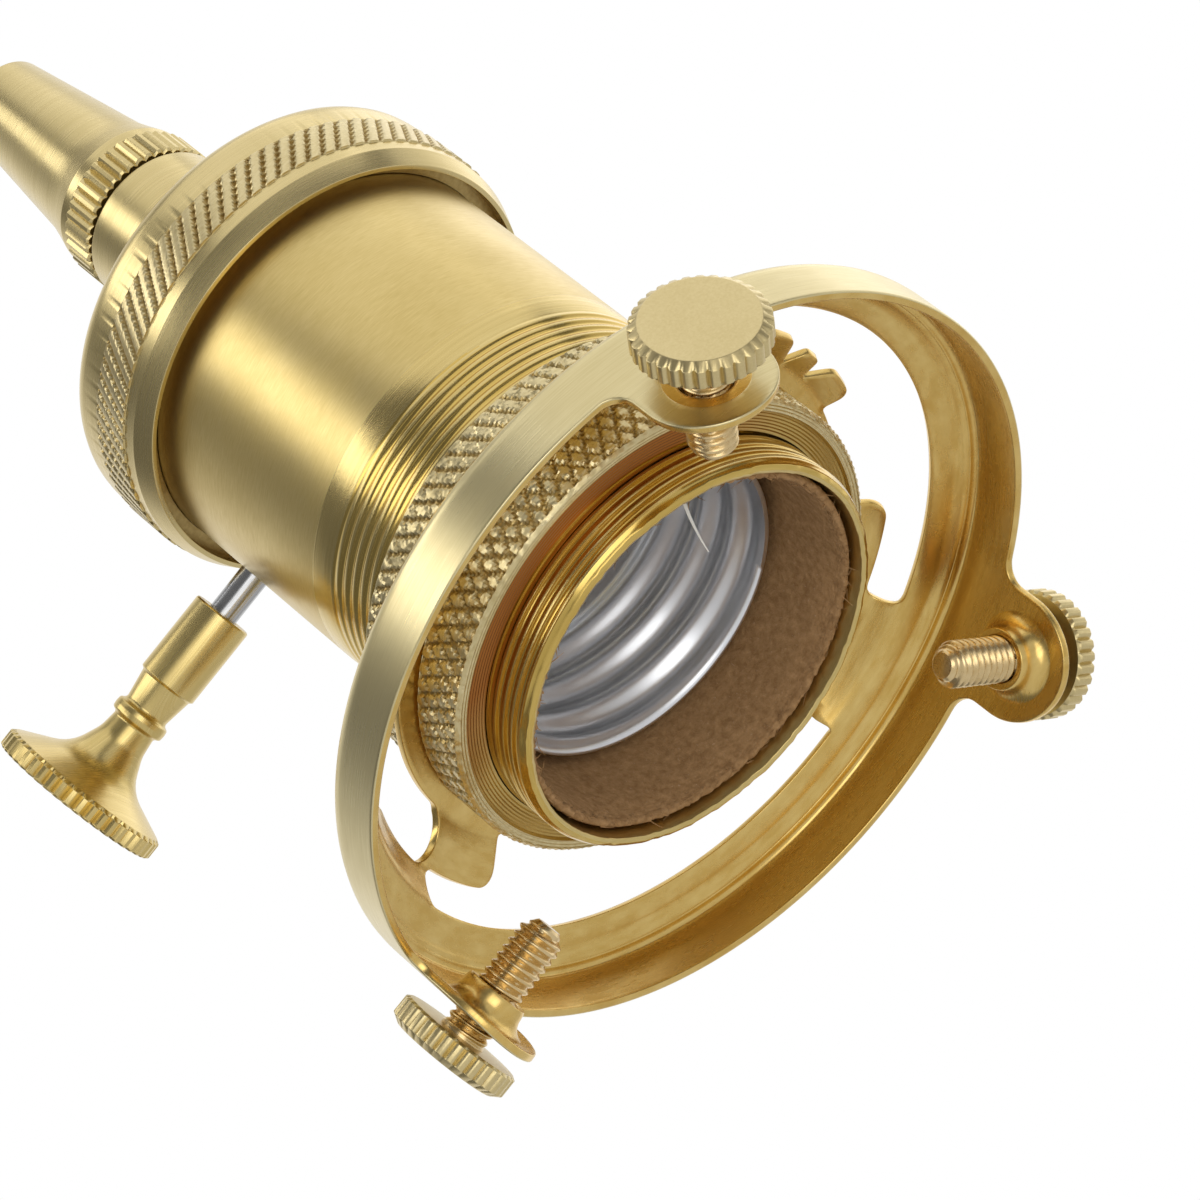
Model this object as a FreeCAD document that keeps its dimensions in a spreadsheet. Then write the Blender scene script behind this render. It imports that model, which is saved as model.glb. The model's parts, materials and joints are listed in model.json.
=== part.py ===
"""Pendant lamp holder with a turn switch, two shade rings and a three-screw shade gallery.

Millimetres, +Z up. The open mouth of the outer shell lies in the XY plane and faces down,
the lamp axis is Z, the cord leaves at the top, and the switch knob points along -X.
"""
import FreeCAD, Part
import math
import os

import Sketcher
from FreeCAD import Placement, Rotation, Vector

# Driving dimensions, in millimetres and degrees, each written once.
DIMENSIONS = {
    # outer shell
    "shell_radius": 17.1,
    "shell_wall": 1.1,
    "shell_length": 50.0,
    "shell_rim_wall": 0.4,
    "thread_drop": 0.1,
    "thread_end": 23.9,
    "shoulder_band": 2.4,
    "mouth_lead": 0.6,
    "spindle_hole": 2.3,
    # lamp thread and its insulating liner
    "liner_gap": 0.3,
    "liner_wall": 0.9,
    "liner_start": 1.6,
    "liner_top_drop": 5.5,
    "lamp_thread_gap": 1.55,
    "lamp_thread_depth": 0.85,
    "lamp_thread_pitch": 3.6286,
    "lamp_thread_lead": 1.2,
    "screw_shell_wall": 0.35,
    "screw_shell_length": 19.5,
    "screw_shell_flange": 4.65,
    # ceramic socket base
    "base_length": 22.1,
    "base_gap": 0.25,
    "base_edge": 0.5,
    "base_flange_height": 1.6,
    "base_flange_gap": 0.45,
    "switch_cavity": 11.0,
    "terminal_inset": 4.25,
    "terminal_gap": 0.3,
    "terminal_width": 7.4,
    "terminal_thickness": 4.4,
    "terminal_height": 5.6,
    "terminal_depth": 8.0,
    "terminal_wire_hole": 1.3,
    "terminal_screw_head": 1.9,
    "terminal_screw_rise": 1.5,
    "terminal_screw_shank": 1.2,
    "terminal_screw_slot": 0.6,
    "cover_thickness": 1.2,
    "cover_ledge": 1.0,
    "cover_gap": 0.2,
    # contacts
    "contact_strip": 0.5,
    "contact_width": 5.0,
    "contact_heel": 6.5,
    "contact_bend": 2.0,
    "contact_reach": 3.0,
    "contact_rise": 3.2,
    "contact_curl": 1.4,
    "contact_rivet_offset": 4.3,
    "rivet_head": 1.5,
    "rivet_head_height": 0.7,
    "rivet_shank": 0.9,
    "rivet_depth": 4.0,
    "rivet_gap": 0.05,
    "shell_rivet_inset": 2.65,
    # switch
    "knob_drop": 10.6,
    "spindle_radius": 1.25,
    "spindle_inner_end": 9.0,
    "spindle_end_gap": 0.5,
    "running_gap": 0.06,
    "cam_across": 6.6,
    "cam_length": 6.0,
    "cam_edge": 0.9,
    "spring_strip": 0.4,
    "spring_width": 4.0,
    "spring_gap": 0.4,
    "spring_height": 9.5,
    # knob
    "knob_standoff": 4.0,
    "knob_sleeve_length": 7.2,
    "knob_sleeve_radius": 2.55,
    "knob_socket_depth": 6.0,
    "knob_neck_radius": 1.9,
    "knob_taper_length": 2.7,
    "knob_bead_radius": 2.4,
    "knob_bead_width": 1.0,
    "knob_flare_length": 6.4,
    "knob_flare_bend": 8.0,
    "knob_lip": 0.3,
    "knob_disc_radius": 7.5,
    "knob_disc_thickness": 1.6,
    "knob_teeth": 44,
    "knob_tooth_depth": 0.4,
    "edge_break": 0.2,
    # cap with its neck
    "cap_overlap": 4.4,
    "cap_lip_gap": 1.05,
    "cap_lip_wall": 0.4,
    "cap_rim_wall": 1.1,
    "cap_bevel_height": 1.6,
    "cap_rim_height": 1.2,
    "cap_knurl_height": 3.8,
    "cap_knurl_proud": 0.2,
    "cap_band_height": 1.0,
    "cap_shoulder_radius": 2.8,
    "cap_recess_height": 1.4,
    "cap_thread_gap": 0.05,
    "cap_step": 1.75,
    "cap_roof": 1.6,
    "neck_radius": 6.8,
    "neck_length": 15.3,
    "neck_edge": 0.3,
    "seat_gap": 0.05,
    # cord entry
    "nipple_radius": 4.9,
    "nipple_wall": 1.0,
    "nipple_drop": 2.0,
    "nipple_rise": 6.5,
    "nipple_edge": 0.3,
    "lock_nut_across": 14.0,
    "lock_nut_height": 1.6,
    "grip_gap": 0.5,
    "grip_base_radius": 6.85,
    "grip_knurl_length": 3.2,
    "grip_shoulder_length": 2.8,
    "grip_shoulder_radius": 6.0,
    "grip_seat_rise": 0.8,
    "grip_tip_radius": 4.05,
    "grip_length": 22.1,
    "grip_teeth": 44,
    "grip_tooth_depth": 0.35,
    "grip_tip_bore": 3.2,
    "grip_tip_bore_length": 4.0,
    "collet_rise": 0.5,
    "collet_length": 6.0,
    "collet_gap": 0.3,
    "collet_bore_step": 0.2,
    "collet_slot": 0.8,
    # shade rings
    "ring_width": 2.95,
    "ring_chamfer": 0.3,
    "ring_face_width": 1.35,
    "ring_step_depth": 0.2,
    "lower_ring_height": 5.0,
    "upper_ring_height": 5.8,
    "ring_clearance": 0.08,
    # gallery sheet
    "gallery_radius": 31.75,
    "sheet": 0.7,
    "gallery_rim_height": -0.8,
    "gallery_wall_height": 4.0,
    "gallery_corner": 1.2,
    "bead_inset": 1.55,
    "valley_inset": 2.45,
    "valley_rise": 0.7,
    "flange_width": 4.35,
    "flange_rise": 1.3,
    "arm_steepness": 0.49,
    "arm_bend_share": 0.25,
    "plate_width": 4.4,
    "plate_height": 9.5,
    "plate_bore_gap": 0.3,
    "window_inset": 0.1,
    "arm_angle": 25.0,
    "ear_angle": 18.0,
    "ear_share": 0.66,
    "ear_round_share": 0.38,
    "relief_share": 0.63,
    "relief_angle": 6.0,
    "tooth_angle": 57.0,
    "tooth_half_angle": 2.0,
    "tooth_share": 0.31,
    "notch_half_angle": 4.2,
    "lobe_start_angle": 7.2,
    "lobe_end_angle": 16.0,
    "lobe_share": 0.36,
    # lugs and thumbscrews
    "lug_radius": 5.3,
    "lug_drop": 3.6,
    "collar_wall": 0.73,
    "collar_flare": 0.75,
    "collar_height": 2.0,
    "screw_radius": 1.95,
    "screw_clearance": 0.07,
    "screw_tip_radius": 1.0,
    "screw_length": 10.5,
    "screw_head_radius": 5.2,
    "screw_head_thickness": 2.2,
    "screw_teeth": 32,
    "screw_tooth_depth": 0.35,
    "head_gap_first": 3.15,
    "head_gap_second": 1.25,
    "head_gap_third": 1.55,
}
LUG_ANGLES = {1: -60.0, 2: 60.0, 3: 180.0}
HEAD_GAPS = {1: "head_gap_first", 2: "head_gap_second", 3: "head_gap_third"}
TO_KNOB = Rotation(Vector(0, 0, 1), Vector(-1, 0, 0))


class Size:
    """A number together with the spreadsheet formula that gives it."""

    def __init__(self, value, formula):
        self.value = value
        self.formula = formula

    def join(self, other, sign, value):
        return Size(value, "(%s %s %s)" % (self.formula, sign, formula_of(other)))

    def __add__(self, other):
        return self.join(other, "+", self.value + value_of(other))

    def __sub__(self, other):
        return self.join(other, "-", self.value - value_of(other))

    def __mul__(self, other):
        return self.join(other, "*", self.value * value_of(other))

    def __truediv__(self, other):
        return self.join(other, "/", self.value / value_of(other))

    def __radd__(self, other):
        return self + other

    def __rmul__(self, other):
        return self * other

    def __rsub__(self, other):
        return (self * -1) + other

    def __neg__(self):
        return self * -1


def value_of(size):
    return size.value if isinstance(size, Size) else float(size)


def formula_of(size):
    return size.formula if isinstance(size, Size) else "(%r)" % float(size)


class SizeTable:
    """The document's spreadsheet, read as attributes: table.shell_radius and so on."""

    def __init__(self, doc, dimensions):
        sheet = doc.addObject("Spreadsheet::Sheet", "Sizes")
        for row, (alias, value) in enumerate(dimensions.items(), start=1):
            sheet.set("A%d" % row, alias)
            sheet.set("B%d" % row, str(value))
            sheet.setAlias("B%d" % row, alias)
            setattr(self, alias, Size(float(value), "Sizes." + alias))
        doc.recompute()
        self.derive_shell()
        self.derive_cap()
        self.derive_gallery()

    def derive_shell(self):
        """What is stacked inside the shell, from the outside in and from the top down."""
        self.shell_bore = self.shell_radius - self.shell_wall
        self.thread_crest = self.shell_radius - self.thread_drop
        self.liner_radius = self.shell_bore - self.liner_gap
        self.liner_bore = self.liner_radius - self.liner_wall
        self.lamp_thread_root = self.liner_bore - self.lamp_thread_gap
        self.lamp_thread_crest = self.lamp_thread_root - self.lamp_thread_depth
        self.base_radius = self.liner_bore - self.base_gap
        self.base_start = self.shell_length - self.base_length
        self.base_top = self.shell_length + self.base_flange_height
        self.shell_rivet_offset = self.lamp_thread_root - self.shell_rivet_inset
        self.terminal_offset = self.base_radius - self.terminal_inset
        self.terminal_floor = self.base_top - self.terminal_depth
        self.knob_height = self.shell_length - self.knob_drop
        self.cavity_floor = self.knob_height - self.switch_cavity * 0.5
        self.knob_start = self.shell_radius + self.knob_standoff
        self.contact_seat = self.base_start - self.contact_strip

    def derive_cap(self):
        """Levels and radii of the cap, and of what its neck carries."""
        self.cap_lip = self.shell_length - self.cap_overlap
        self.cap_lip_bore = self.shell_radius + self.cap_lip_gap
        self.cap_rim_radius = self.cap_lip_bore + self.cap_rim_wall
        self.cap_rim = self.cap_lip + self.cap_bevel_height
        self.cap_knurl_start = self.cap_rim + self.cap_rim_height
        self.cap_knurl_end = self.cap_knurl_start + self.cap_knurl_height
        self.cap_top = self.cap_knurl_end + self.cap_band_height + self.cap_shoulder_radius
        self.cap_ceiling = self.cap_top - self.cap_roof
        self.cap_thread_bore = self.shell_radius + self.cap_thread_gap
        self.base_flange_radius = self.cap_thread_bore - self.base_flange_gap
        self.neck_top = self.cap_top + self.neck_length
        self.nipple_top = self.neck_top + self.nipple_rise
        self.nipple_hole = self.nipple_radius + self.seat_gap
        self.grip_start = self.neck_top + self.grip_gap
        self.grip_seat = self.nipple_top + self.grip_seat_rise
        self.grip_tip = self.grip_start + self.grip_length

    def derive_gallery(self):
        """Radii and heights of the gallery, and of the rings that clamp it."""
        self.ring_radius = self.thread_crest + self.ring_width
        self.ring_bore = self.thread_crest + self.ring_clearance
        self.bead_radius = self.gallery_radius - self.bead_inset
        self.valley_radius = self.gallery_radius - self.valley_inset
        self.flange_bore = self.gallery_radius - self.flange_width
        self.corner_height = self.gallery_rim_height + self.gallery_wall_height
        self.bead_height = self.corner_height + self.gallery_corner - self.sheet
        self.valley_height = self.bead_height + self.valley_rise
        self.flange_height = self.bead_height + self.flange_rise
        self.plate_radius = self.thread_crest + self.plate_width
        self.arm_bend_radius = self.flange_bore - (self.flange_bore - self.plate_radius) * self.arm_bend_share
        self.arm_bend_height = self.flange_height + (self.plate_height - self.flange_height) * self.arm_steepness
        self.window_bore = self.plate_radius + self.window_inset
        self.window_width = self.flange_bore - self.window_bore
        self.ear_radius = self.window_bore + self.window_width * self.ear_share
        self.ear_round = (self.ear_radius - self.window_bore) * self.ear_round_share
        self.relief_radius = self.window_bore + self.window_width * self.relief_share
        self.tooth_reach = self.window_bore + self.window_width * self.tooth_share
        self.lobe_reach = self.window_bore + self.window_width * self.lobe_share
        self.screw_height = self.gallery_rim_height - self.lug_drop
        self.screw_hole = self.screw_radius + self.screw_clearance


def bind(obj, **properties):
    """Give each property its value and the formula that keeps it."""
    for name, size in properties.items():
        setattr(obj, name, value_of(size))
        obj.setExpression(name, formula_of(size))


def put(obj, position, rotation=Rotation()):
    """Place an object at a position made of sizes."""
    obj.Placement = Placement(Vector(*[value_of(part) for part in position]), rotation)
    for letter, part in zip("xyz", position):
        if isinstance(part, Size):
            obj.setExpression("Placement.Base." + letter, part.formula)
    return obj


def around(radius, degrees):
    """The x and y of a point at a radius and an angle about the lamp axis."""
    turn = math.radians(value_of(degrees))
    angle = formula_of(degrees)
    x = Size(value_of(radius) * math.cos(turn), "(%s * cos(%s * 1 deg))" % (formula_of(radius), angle))
    y = Size(value_of(radius) * math.sin(turn), "(%s * sin(%s * 1 deg))" % (formula_of(radius), angle))
    return x, y


def outward(degrees):
    """The rotation that lays an object's own Z along the radius at an angle."""
    turn = math.radians(degrees)
    return Rotation(Vector(0, 0, 1), Vector(math.cos(turn), math.sin(turn), 0))


# ---------------------------------------------------------------- sketches and turned bodies

def origin_plane(body, role):
    return next(item for item in body.Origin.OriginFeatures if item.Role == role)


def constrain(sketch, kind, geometry, end, size):
    """Hold one coordinate of a sketch point at a size measured from the origin."""
    value = value_of(size)
    if abs(value) < 1e-9:
        axis = -2 if kind == "DistanceX" else -1
        sketch.addConstraint(Sketcher.Constraint("PointOnObject", geometry, end, axis))
        return
    if value > 0:
        index = sketch.addConstraint(Sketcher.Constraint(kind, -1, 1, geometry, end, value))
    else:
        index = sketch.addConstraint(Sketcher.Constraint(kind, geometry, end, -1, 1, -value))
        size = -1 * size if isinstance(size, Size) else -size
    if isinstance(size, Size):
        name = "%s%d" % (kind[-1].lower(), index)
        sketch.renameConstraint(index, name)
        sketch.setExpression("Constraints." + name, size.formula)


def arc_centre(start, end, radius):
    """Centre of the arc from start to end, to the left of the chord for a positive radius."""
    middle = (start + end) * 0.5
    chord = end - start
    rise = math.sqrt(max(radius * radius - chord.Length ** 2 / 4, 0.0))
    left = Vector(-chord.y, chord.x, 0).normalize()
    return middle + left * (rise if radius > 0 else -rise)


def draw_outline(sketch, outline):
    """Draw a closed outline of (x, y) or (x, y, arc radius to the next point) corners."""
    corners = [Vector(value_of(corner[0]), value_of(corner[1]), 0) for corner in outline]
    ends = []
    for place, corner in enumerate(outline):
        start = corners[place]
        end = corners[(place + 1) % len(corners)]
        if len(corner) == 2:
            geometry = sketch.addGeometry(Part.LineSegment(start, end), False)
            ends.append((geometry, 1, 2))
            continue
        radius = value_of(corner[2])
        centre = arc_centre(start, end, radius)
        circle = Part.Circle(centre, Vector(0, 0, 1), abs(radius))
        first, last = (start, end) if radius > 0 else (end, start)
        arc = Part.ArcOfCircle(circle, circle.parameter(first), circle.parameter(last))
        geometry = sketch.addGeometry(arc, False)
        ends.append((geometry, 1, 2) if radius > 0 else (geometry, 2, 1))
        index = sketch.addConstraint(Sketcher.Constraint("Radius", geometry, abs(radius)))
        sketch.renameConstraint(index, "bend%d" % index)
        bend = corner[2] if radius > 0 else -1 * corner[2]
        sketch.setExpression("Constraints.bend%d" % index, formula_of(bend))
    for place, (geometry, first, last) in enumerate(ends):
        following, next_first, _ = ends[(place + 1) % len(ends)]
        sketch.addConstraint(Sketcher.Constraint("Coincident", geometry, last, following, next_first))
        constrain(sketch, "DistanceX", geometry, first, outline[place][0])
        constrain(sketch, "DistanceY", geometry, first, outline[place][1])


def new_sketch(body, name, role):
    sketch = body.newObject("Sketcher::SketchObject", name)
    sketch.AttachmentSupport = (origin_plane(body, role), [""])
    sketch.MapMode = "FlatFace"
    return sketch


def turned(doc, name, outline):
    """A body turned about its own Z from an outline of (radius, height) corners."""
    body = doc.addObject("PartDesign::Body", name)
    body.Label = name
    sketch = new_sketch(body, name + "_profile", "XZ_Plane")
    draw_outline(sketch, outline)
    turning = body.newObject("PartDesign::Revolution", name + "_turning")
    turning.Profile = sketch
    turning.ReferenceAxis = (sketch, ["V_Axis"])
    turning.Angle = 360.0
    doc.recompute()
    return body


def serrate(doc, body, radius, depth, count, length=None):
    """Cut straight V grooves all round the widest part of a turned body."""
    pitch = value_of(radius) * 2 * math.pi / value_of(count)
    tool = new_sketch(body, body.Name + "_groove", "XY_Plane")
    reach = radius + depth
    half = radius * (0.36 * pitch / value_of(radius))
    draw_outline(tool, [(radius - depth, 0), (reach, -half), (reach, half)])
    groove = body.newObject("PartDesign::Pocket", body.Name + "_cut")
    groove.Profile = tool
    groove.Reversed = True
    if length is None:
        groove.Type = "ThroughAll"
    else:
        bind(groove, Length=length)
    doc.recompute()
    ring = body.newObject("PartDesign::PolarPattern", body.Name + "_serration")
    ring.Originals = [groove]
    ring.Axis = (tool, ["N_Axis"])
    ring.Angle = 360.0
    ring.Occurrences = int(value_of(count))
    ring.setExpression("Occurrences", formula_of(count))
    body.Tip = ring
    doc.recompute()
    return body


# ---------------------------------------------------------------- Part primitives and booleans

def cylinder(doc, name, radius, height, position, rotation=Rotation(), angle=None):
    solid = doc.addObject("Part::Cylinder", name)
    bind(solid, Radius=radius, Height=height)
    if angle is not None:
        bind(solid, Angle=angle)
    return put(solid, position, rotation)


def box(doc, name, length, width, height, position, rotation=Rotation()):
    solid = doc.addObject("Part::Box", name)
    bind(solid, Length=length, Width=width, Height=height)
    return put(solid, position, rotation)


def fused(doc, name, solids):
    union = doc.addObject("Part::MultiFuse", name)
    union.Shapes = solids
    union.Refine = True
    union.Label = name
    return union


def cut(doc, name, base, tool):
    difference = doc.addObject("Part::Cut", name)
    difference.Base = base
    difference.Tool = tool
    difference.Refine = True
    difference.Label = name
    return difference


def shared(doc, name, first, second):
    common = doc.addObject("Part::Common", name)
    common.Base = first
    common.Tool = second
    common.Label = name
    return common


# ---------------------------------------------------------------- sheet and strip sections

def sheet_section(line, thickness):
    """The closed outline of a sheet whose one face follows a line, thickened to its left."""
    points = [Vector(value_of(x), value_of(y), 0) for x, y in line]
    normals = []
    for start, end in zip(points, points[1:]):
        along = (end - start).normalize()
        normals.append(Vector(-along.y, along.x, 0))
    back = []
    for place, (x, y) in enumerate(line):
        before = normals[max(place - 1, 0)]
        after = normals[min(place, len(normals) - 1)]
        miter = (before + after) * (1.0 / (1.0 + before.dot(after)))
        back.append((x + thickness * miter.x, y + thickness * miter.y))
    return list(line) + back[::-1]


def padded(doc, name, outline, width, role):
    """A body padded by the same amount to both sides of an origin plane."""
    body = doc.addObject("PartDesign::Body", name)
    body.Label = name
    sketch = new_sketch(body, name + "_section", role)
    draw_outline(sketch, outline)
    pad = body.newObject("PartDesign::Pad", name + "_pad")
    pad.Profile = sketch
    bind(pad, Length=width)
    pad.Midplane = True
    doc.recompute()
    return body


# ---------------------------------------------------------------- shell, liner and lamp thread

def outer_shell(doc, table):
    """Thin brass tube, threaded from the mouth for the two shade rings."""
    edge = table.shell_bore + table.shell_rim_wall
    band_end = table.thread_end + table.shoulder_band
    sheet = turned(doc, "outer_shell_tube", [
        (table.shell_bore, 0),
        (edge, 0),
        (table.thread_crest, table.mouth_lead),
        (table.thread_crest, table.thread_end),
        (table.shell_radius, band_end),
        (table.shell_radius, table.shell_length),
        (table.shell_bore, table.shell_length),
    ])
    hole = cylinder(doc, "outer_shell_hole", table.spindle_hole, table.shell_radius * 1.2,
                    (0, 0, table.knob_height), TO_KNOB)
    return cut(doc, "outer_shell", sheet, hole)


def liner(doc, table):
    """Pressed cardboard tube between the brass shell and the live lamp thread."""
    top = table.shell_length - table.liner_top_drop
    tube = turned(doc, "liner_tube", [
        (table.liner_bore, table.liner_start),
        (table.liner_radius, table.liner_start),
        (table.liner_radius, top),
        (table.liner_bore, top),
    ])
    hole = cylinder(doc, "liner_hole", table.spindle_hole + table.liner_gap, table.shell_radius * 1.2,
                    (0, 0, table.knob_height), TO_KNOB)
    return cut(doc, "liner", tube, hole)


def screw_shell(doc, table):
    """Rolled aluminium lamp thread with a flange riveted under the socket base."""
    start = table.base_start - table.screw_shell_length
    floor = table.base_start - table.screw_shell_wall
    first = start + table.lamp_thread_lead
    room = value_of(floor - first)
    turns = int(room / value_of(table.lamp_thread_pitch))
    line = [(table.lamp_thread_root, start)]
    for turn in range(turns):
        height = first + table.lamp_thread_pitch * turn
        line.append((table.lamp_thread_root, height))
        line.append((table.lamp_thread_crest, height + table.lamp_thread_pitch * 0.5))
    line.append((table.lamp_thread_root, first + table.lamp_thread_pitch * turns))
    line.append((table.lamp_thread_root, floor))
    line.append((table.lamp_thread_root - table.screw_shell_flange, floor))
    section = sheet_section(line[::-1], table.screw_shell_wall)
    body = turned(doc, "screw_shell_rolled", section)
    holes = [
        cylinder(doc, "screw_shell_hole_%d" % side, table.rivet_shank + table.rivet_gap, table.rivet_depth,
                 (0, table.shell_rivet_offset * sign, floor - table.rivet_depth * 0.5))
        for side, sign in ((1, 1), (2, -1))
    ]
    return cut(doc, "screw_shell", body, fused(doc, "screw_shell_holes", holes))


def rivet(doc, table, name, x, y, seat):
    """A round-headed rivet with its head under a seat and its shank going up."""
    shank = table.rivet_shank
    body = turned(doc, name, [
        (0, -table.rivet_head_height),
        (table.rivet_head * 0.6, -table.rivet_head_height),
        (table.rivet_head, table.rivet_head_height * -0.4),
        (table.rivet_head, 0),
        (shank, 0),
        (shank, table.rivet_depth),
        (0, table.rivet_depth),
    ])
    return put(body, (x, y, seat))


def shell_rivets(doc, table):
    """Two rivets that hold the lamp thread to the socket base."""
    seat = table.base_start - table.screw_shell_wall
    rivets = [
        rivet(doc, table, "shell_rivet_%d" % side, 0, table.shell_rivet_offset * sign, seat)
        for side, sign in ((1, 1), (2, -1))
    ]
    pair = doc.addObject("Part::Compound", "shell_rivets")
    pair.Links = rivets
    pair.Label = "shell_rivets"
    return pair


# ---------------------------------------------------------------- socket base and its contacts

def socket_base(doc, table):
    """White ceramic body: lamp side down, switch cavity and two terminal wells from above."""
    radius = table.base_radius
    rim = table.shell_length
    top = table.base_top
    blank = turned(doc, "socket_base_blank", [
        (0, table.base_start),
        (radius - table.base_edge, table.base_start),
        (radius, table.base_start + table.base_edge),
        (radius, rim),
        (table.base_flange_radius, rim),
        (table.base_flange_radius, top),
        (0, top),
    ])
    side = table.switch_cavity
    ledge = side + table.cover_ledge * 2
    well_width = table.terminal_width + table.terminal_gap * 2
    well_depth = table.terminal_thickness + table.terminal_gap * 2
    spindle_bore = table.spindle_radius + table.running_gap
    hole = table.rivet_shank + table.rivet_gap
    hollows = [
        box(doc, "switch_cavity", side, side, top,
            (side * -0.5, side * -0.5, table.cavity_floor)),
        box(doc, "cover_recess", ledge, ledge, top,
            (ledge * -0.5, ledge * -0.5, top - table.cover_thickness)),
        cylinder(doc, "spindle_bore", spindle_bore, radius * 1.2 + table.spindle_inner_end,
                 (table.spindle_inner_end + table.spindle_end_gap, 0, table.knob_height), TO_KNOB),
        cylinder(doc, "contact_rivet_hole", hole, top,
                 (table.contact_rivet_offset, 0, table.base_start * 0.5)),
    ]
    for number, sign in ((1, 1), (2, -1)):
        centre = table.terminal_offset * sign
        hollows.append(box(doc, "terminal_well_%d" % number, well_width, well_depth, top,
                           (well_width * -0.5, centre - well_depth * 0.5, table.terminal_floor)))
        hollows.append(cylinder(doc, "shell_rivet_hole_%d" % number, hole, table.rivet_depth,
                                (0, table.shell_rivet_offset * sign, table.base_start - table.rivet_gap)))
    return cut(doc, "socket_base", blank, fused(doc, "socket_base_hollows", hollows))


def centre_contact(doc, table):
    """Springy brass tongue under the base that meets the tip of the lamp."""
    seat = table.contact_seat
    tip = seat - table.contact_rise
    line = [
        (table.contact_heel, seat),
        (table.contact_bend, seat),
        (table.contact_reach * -1 + table.contact_curl, tip),
        (table.contact_reach * -1, tip + table.contact_curl * 0.5),
    ]
    section = sheet_section(line[::-1], table.contact_strip)
    strip = padded(doc, "contact_strip", section, table.contact_width, "XZ_Plane")
    hole = cylinder(doc, "contact_hole", table.rivet_shank + table.rivet_gap, table.contact_strip * 3,
                    (table.contact_rivet_offset, 0, seat - table.contact_strip))
    return cut(doc, "centre_contact", strip, hole)


def contact_rivet(doc, table):
    return rivet(doc, table, "contact_rivet", table.contact_rivet_offset, 0, table.contact_seat)


def terminal(doc, table, name, sign):
    """Brass block in a well of the base, with a cross hole for the wire."""
    floor = table.terminal_floor
    centre = table.terminal_offset * sign
    corner = (table.terminal_width * -0.5, centre - table.terminal_thickness * 0.5, floor)
    block = box(doc, name + "_block", table.terminal_width, table.terminal_thickness,
                table.terminal_height, corner)
    tapped = cylinder(doc, name + "_tapped", table.terminal_screw_shank + table.seat_gap, table.terminal_height,
                      (0, centre, floor + table.terminal_height * 0.5))
    wire = cylinder(doc, name + "_wire", table.terminal_wire_hole, table.terminal_width * 1.2,
                    (table.terminal_width * 0.6, centre, floor + table.terminal_height * 0.35), TO_KNOB)
    return cut(doc, name, block, fused(doc, name + "_holes", [tapped, wire]))


def terminal_screws(doc, table):
    """Two slotted screws standing on the terminal blocks."""
    seat = table.terminal_floor + table.terminal_height
    screws = []
    for number, sign in ((1, 1), (2, -1)):
        centre = table.terminal_offset * sign
        body = turned(doc, "terminal_screw_%d" % number, [
            (0, table.terminal_height * -0.4),
            (table.terminal_screw_shank, table.terminal_height * -0.4),
            (table.terminal_screw_shank, 0),
            (table.terminal_screw_head, 0),
            (table.terminal_screw_head, table.terminal_screw_rise),
            (0, table.terminal_screw_rise),
        ])
        slot = new_sketch(body, "terminal_slot_%d" % number, "XZ_Plane")
        deep = table.terminal_screw_rise * 0.5
        half = table.terminal_screw_slot * 0.5
        draw_outline(slot, [
            (half * -1, deep),
            (half, deep),
            (half, deep * 3),
            (half * -1, deep * 3),
        ])
        groove = body.newObject("PartDesign::Pocket", "terminal_slot_cut_%d" % number)
        groove.Profile = slot
        groove.Type = "ThroughAll"
        groove.Midplane = True
        doc.recompute()
        screws.append(put(body, (0, centre, seat)))
    pair = doc.addObject("Part::Compound", "terminal_screws")
    pair.Links = screws
    pair.Label = "terminal_screws"
    return pair


# ---------------------------------------------------------------- switch

def switch_cover(doc, table):
    """Fibre plate that closes the switch cavity."""
    side = table.switch_cavity + (table.cover_ledge - table.cover_gap) * 2
    plate = box(doc, "switch_cover", side, side, table.cover_thickness,
                (side * -0.5, side * -0.5, table.base_top - table.cover_thickness))
    plate.Label = "switch_cover"
    return plate


def switch_spring(doc, table):
    """U-shaped contact spring on the floor of the cavity, its arms beside the cam."""
    half = table.switch_cavity * 0.5 - table.spring_gap
    inner = half - table.spring_strip
    floor = table.cavity_floor
    head = floor + table.spring_height
    return padded(doc, "switch_spring", [
        (half * -1, floor),
        (half, floor),
        (half, head),
        (inner, head),
        (inner, floor + table.spring_strip),
        (inner * -1, floor + table.spring_strip),
        (inner * -1, head),
        (half * -1, head),
    ], table.spring_width, "YZ_Plane")


def switch_cam(doc, table):
    """Square moulded cam on the spindle, its four edges taken off."""
    half = table.cam_across * 0.5
    flat = half - table.cam_edge
    outline = [(half, flat * -1), (half, flat), (flat, half), (flat * -1, half)]
    outline += [(half * -1, flat), (half * -1, flat * -1), (flat * -1, half * -1), (flat, half * -1)]
    block = padded(doc, "cam_block", outline, table.cam_length, "XY_Plane")
    put(block, (0, 0, table.knob_height), TO_KNOB)
    bore = cylinder(doc, "cam_bore", table.spindle_radius + table.seat_gap, table.cam_length * 2,
                    (table.cam_length, 0, table.knob_height), TO_KNOB)
    return cut(doc, "switch_cam", block, bore)


def spindle(doc, table):
    """Steel switch spindle, from inside the knob to its blind bearing in the base."""
    end = table.knob_start + table.knob_socket_depth - 0.2
    rod = cylinder(doc, "spindle", table.spindle_radius, end + table.spindle_inner_end,
                   (table.spindle_inner_end, 0, table.knob_height), TO_KNOB)
    rod.Label = "spindle"
    return rod


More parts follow.
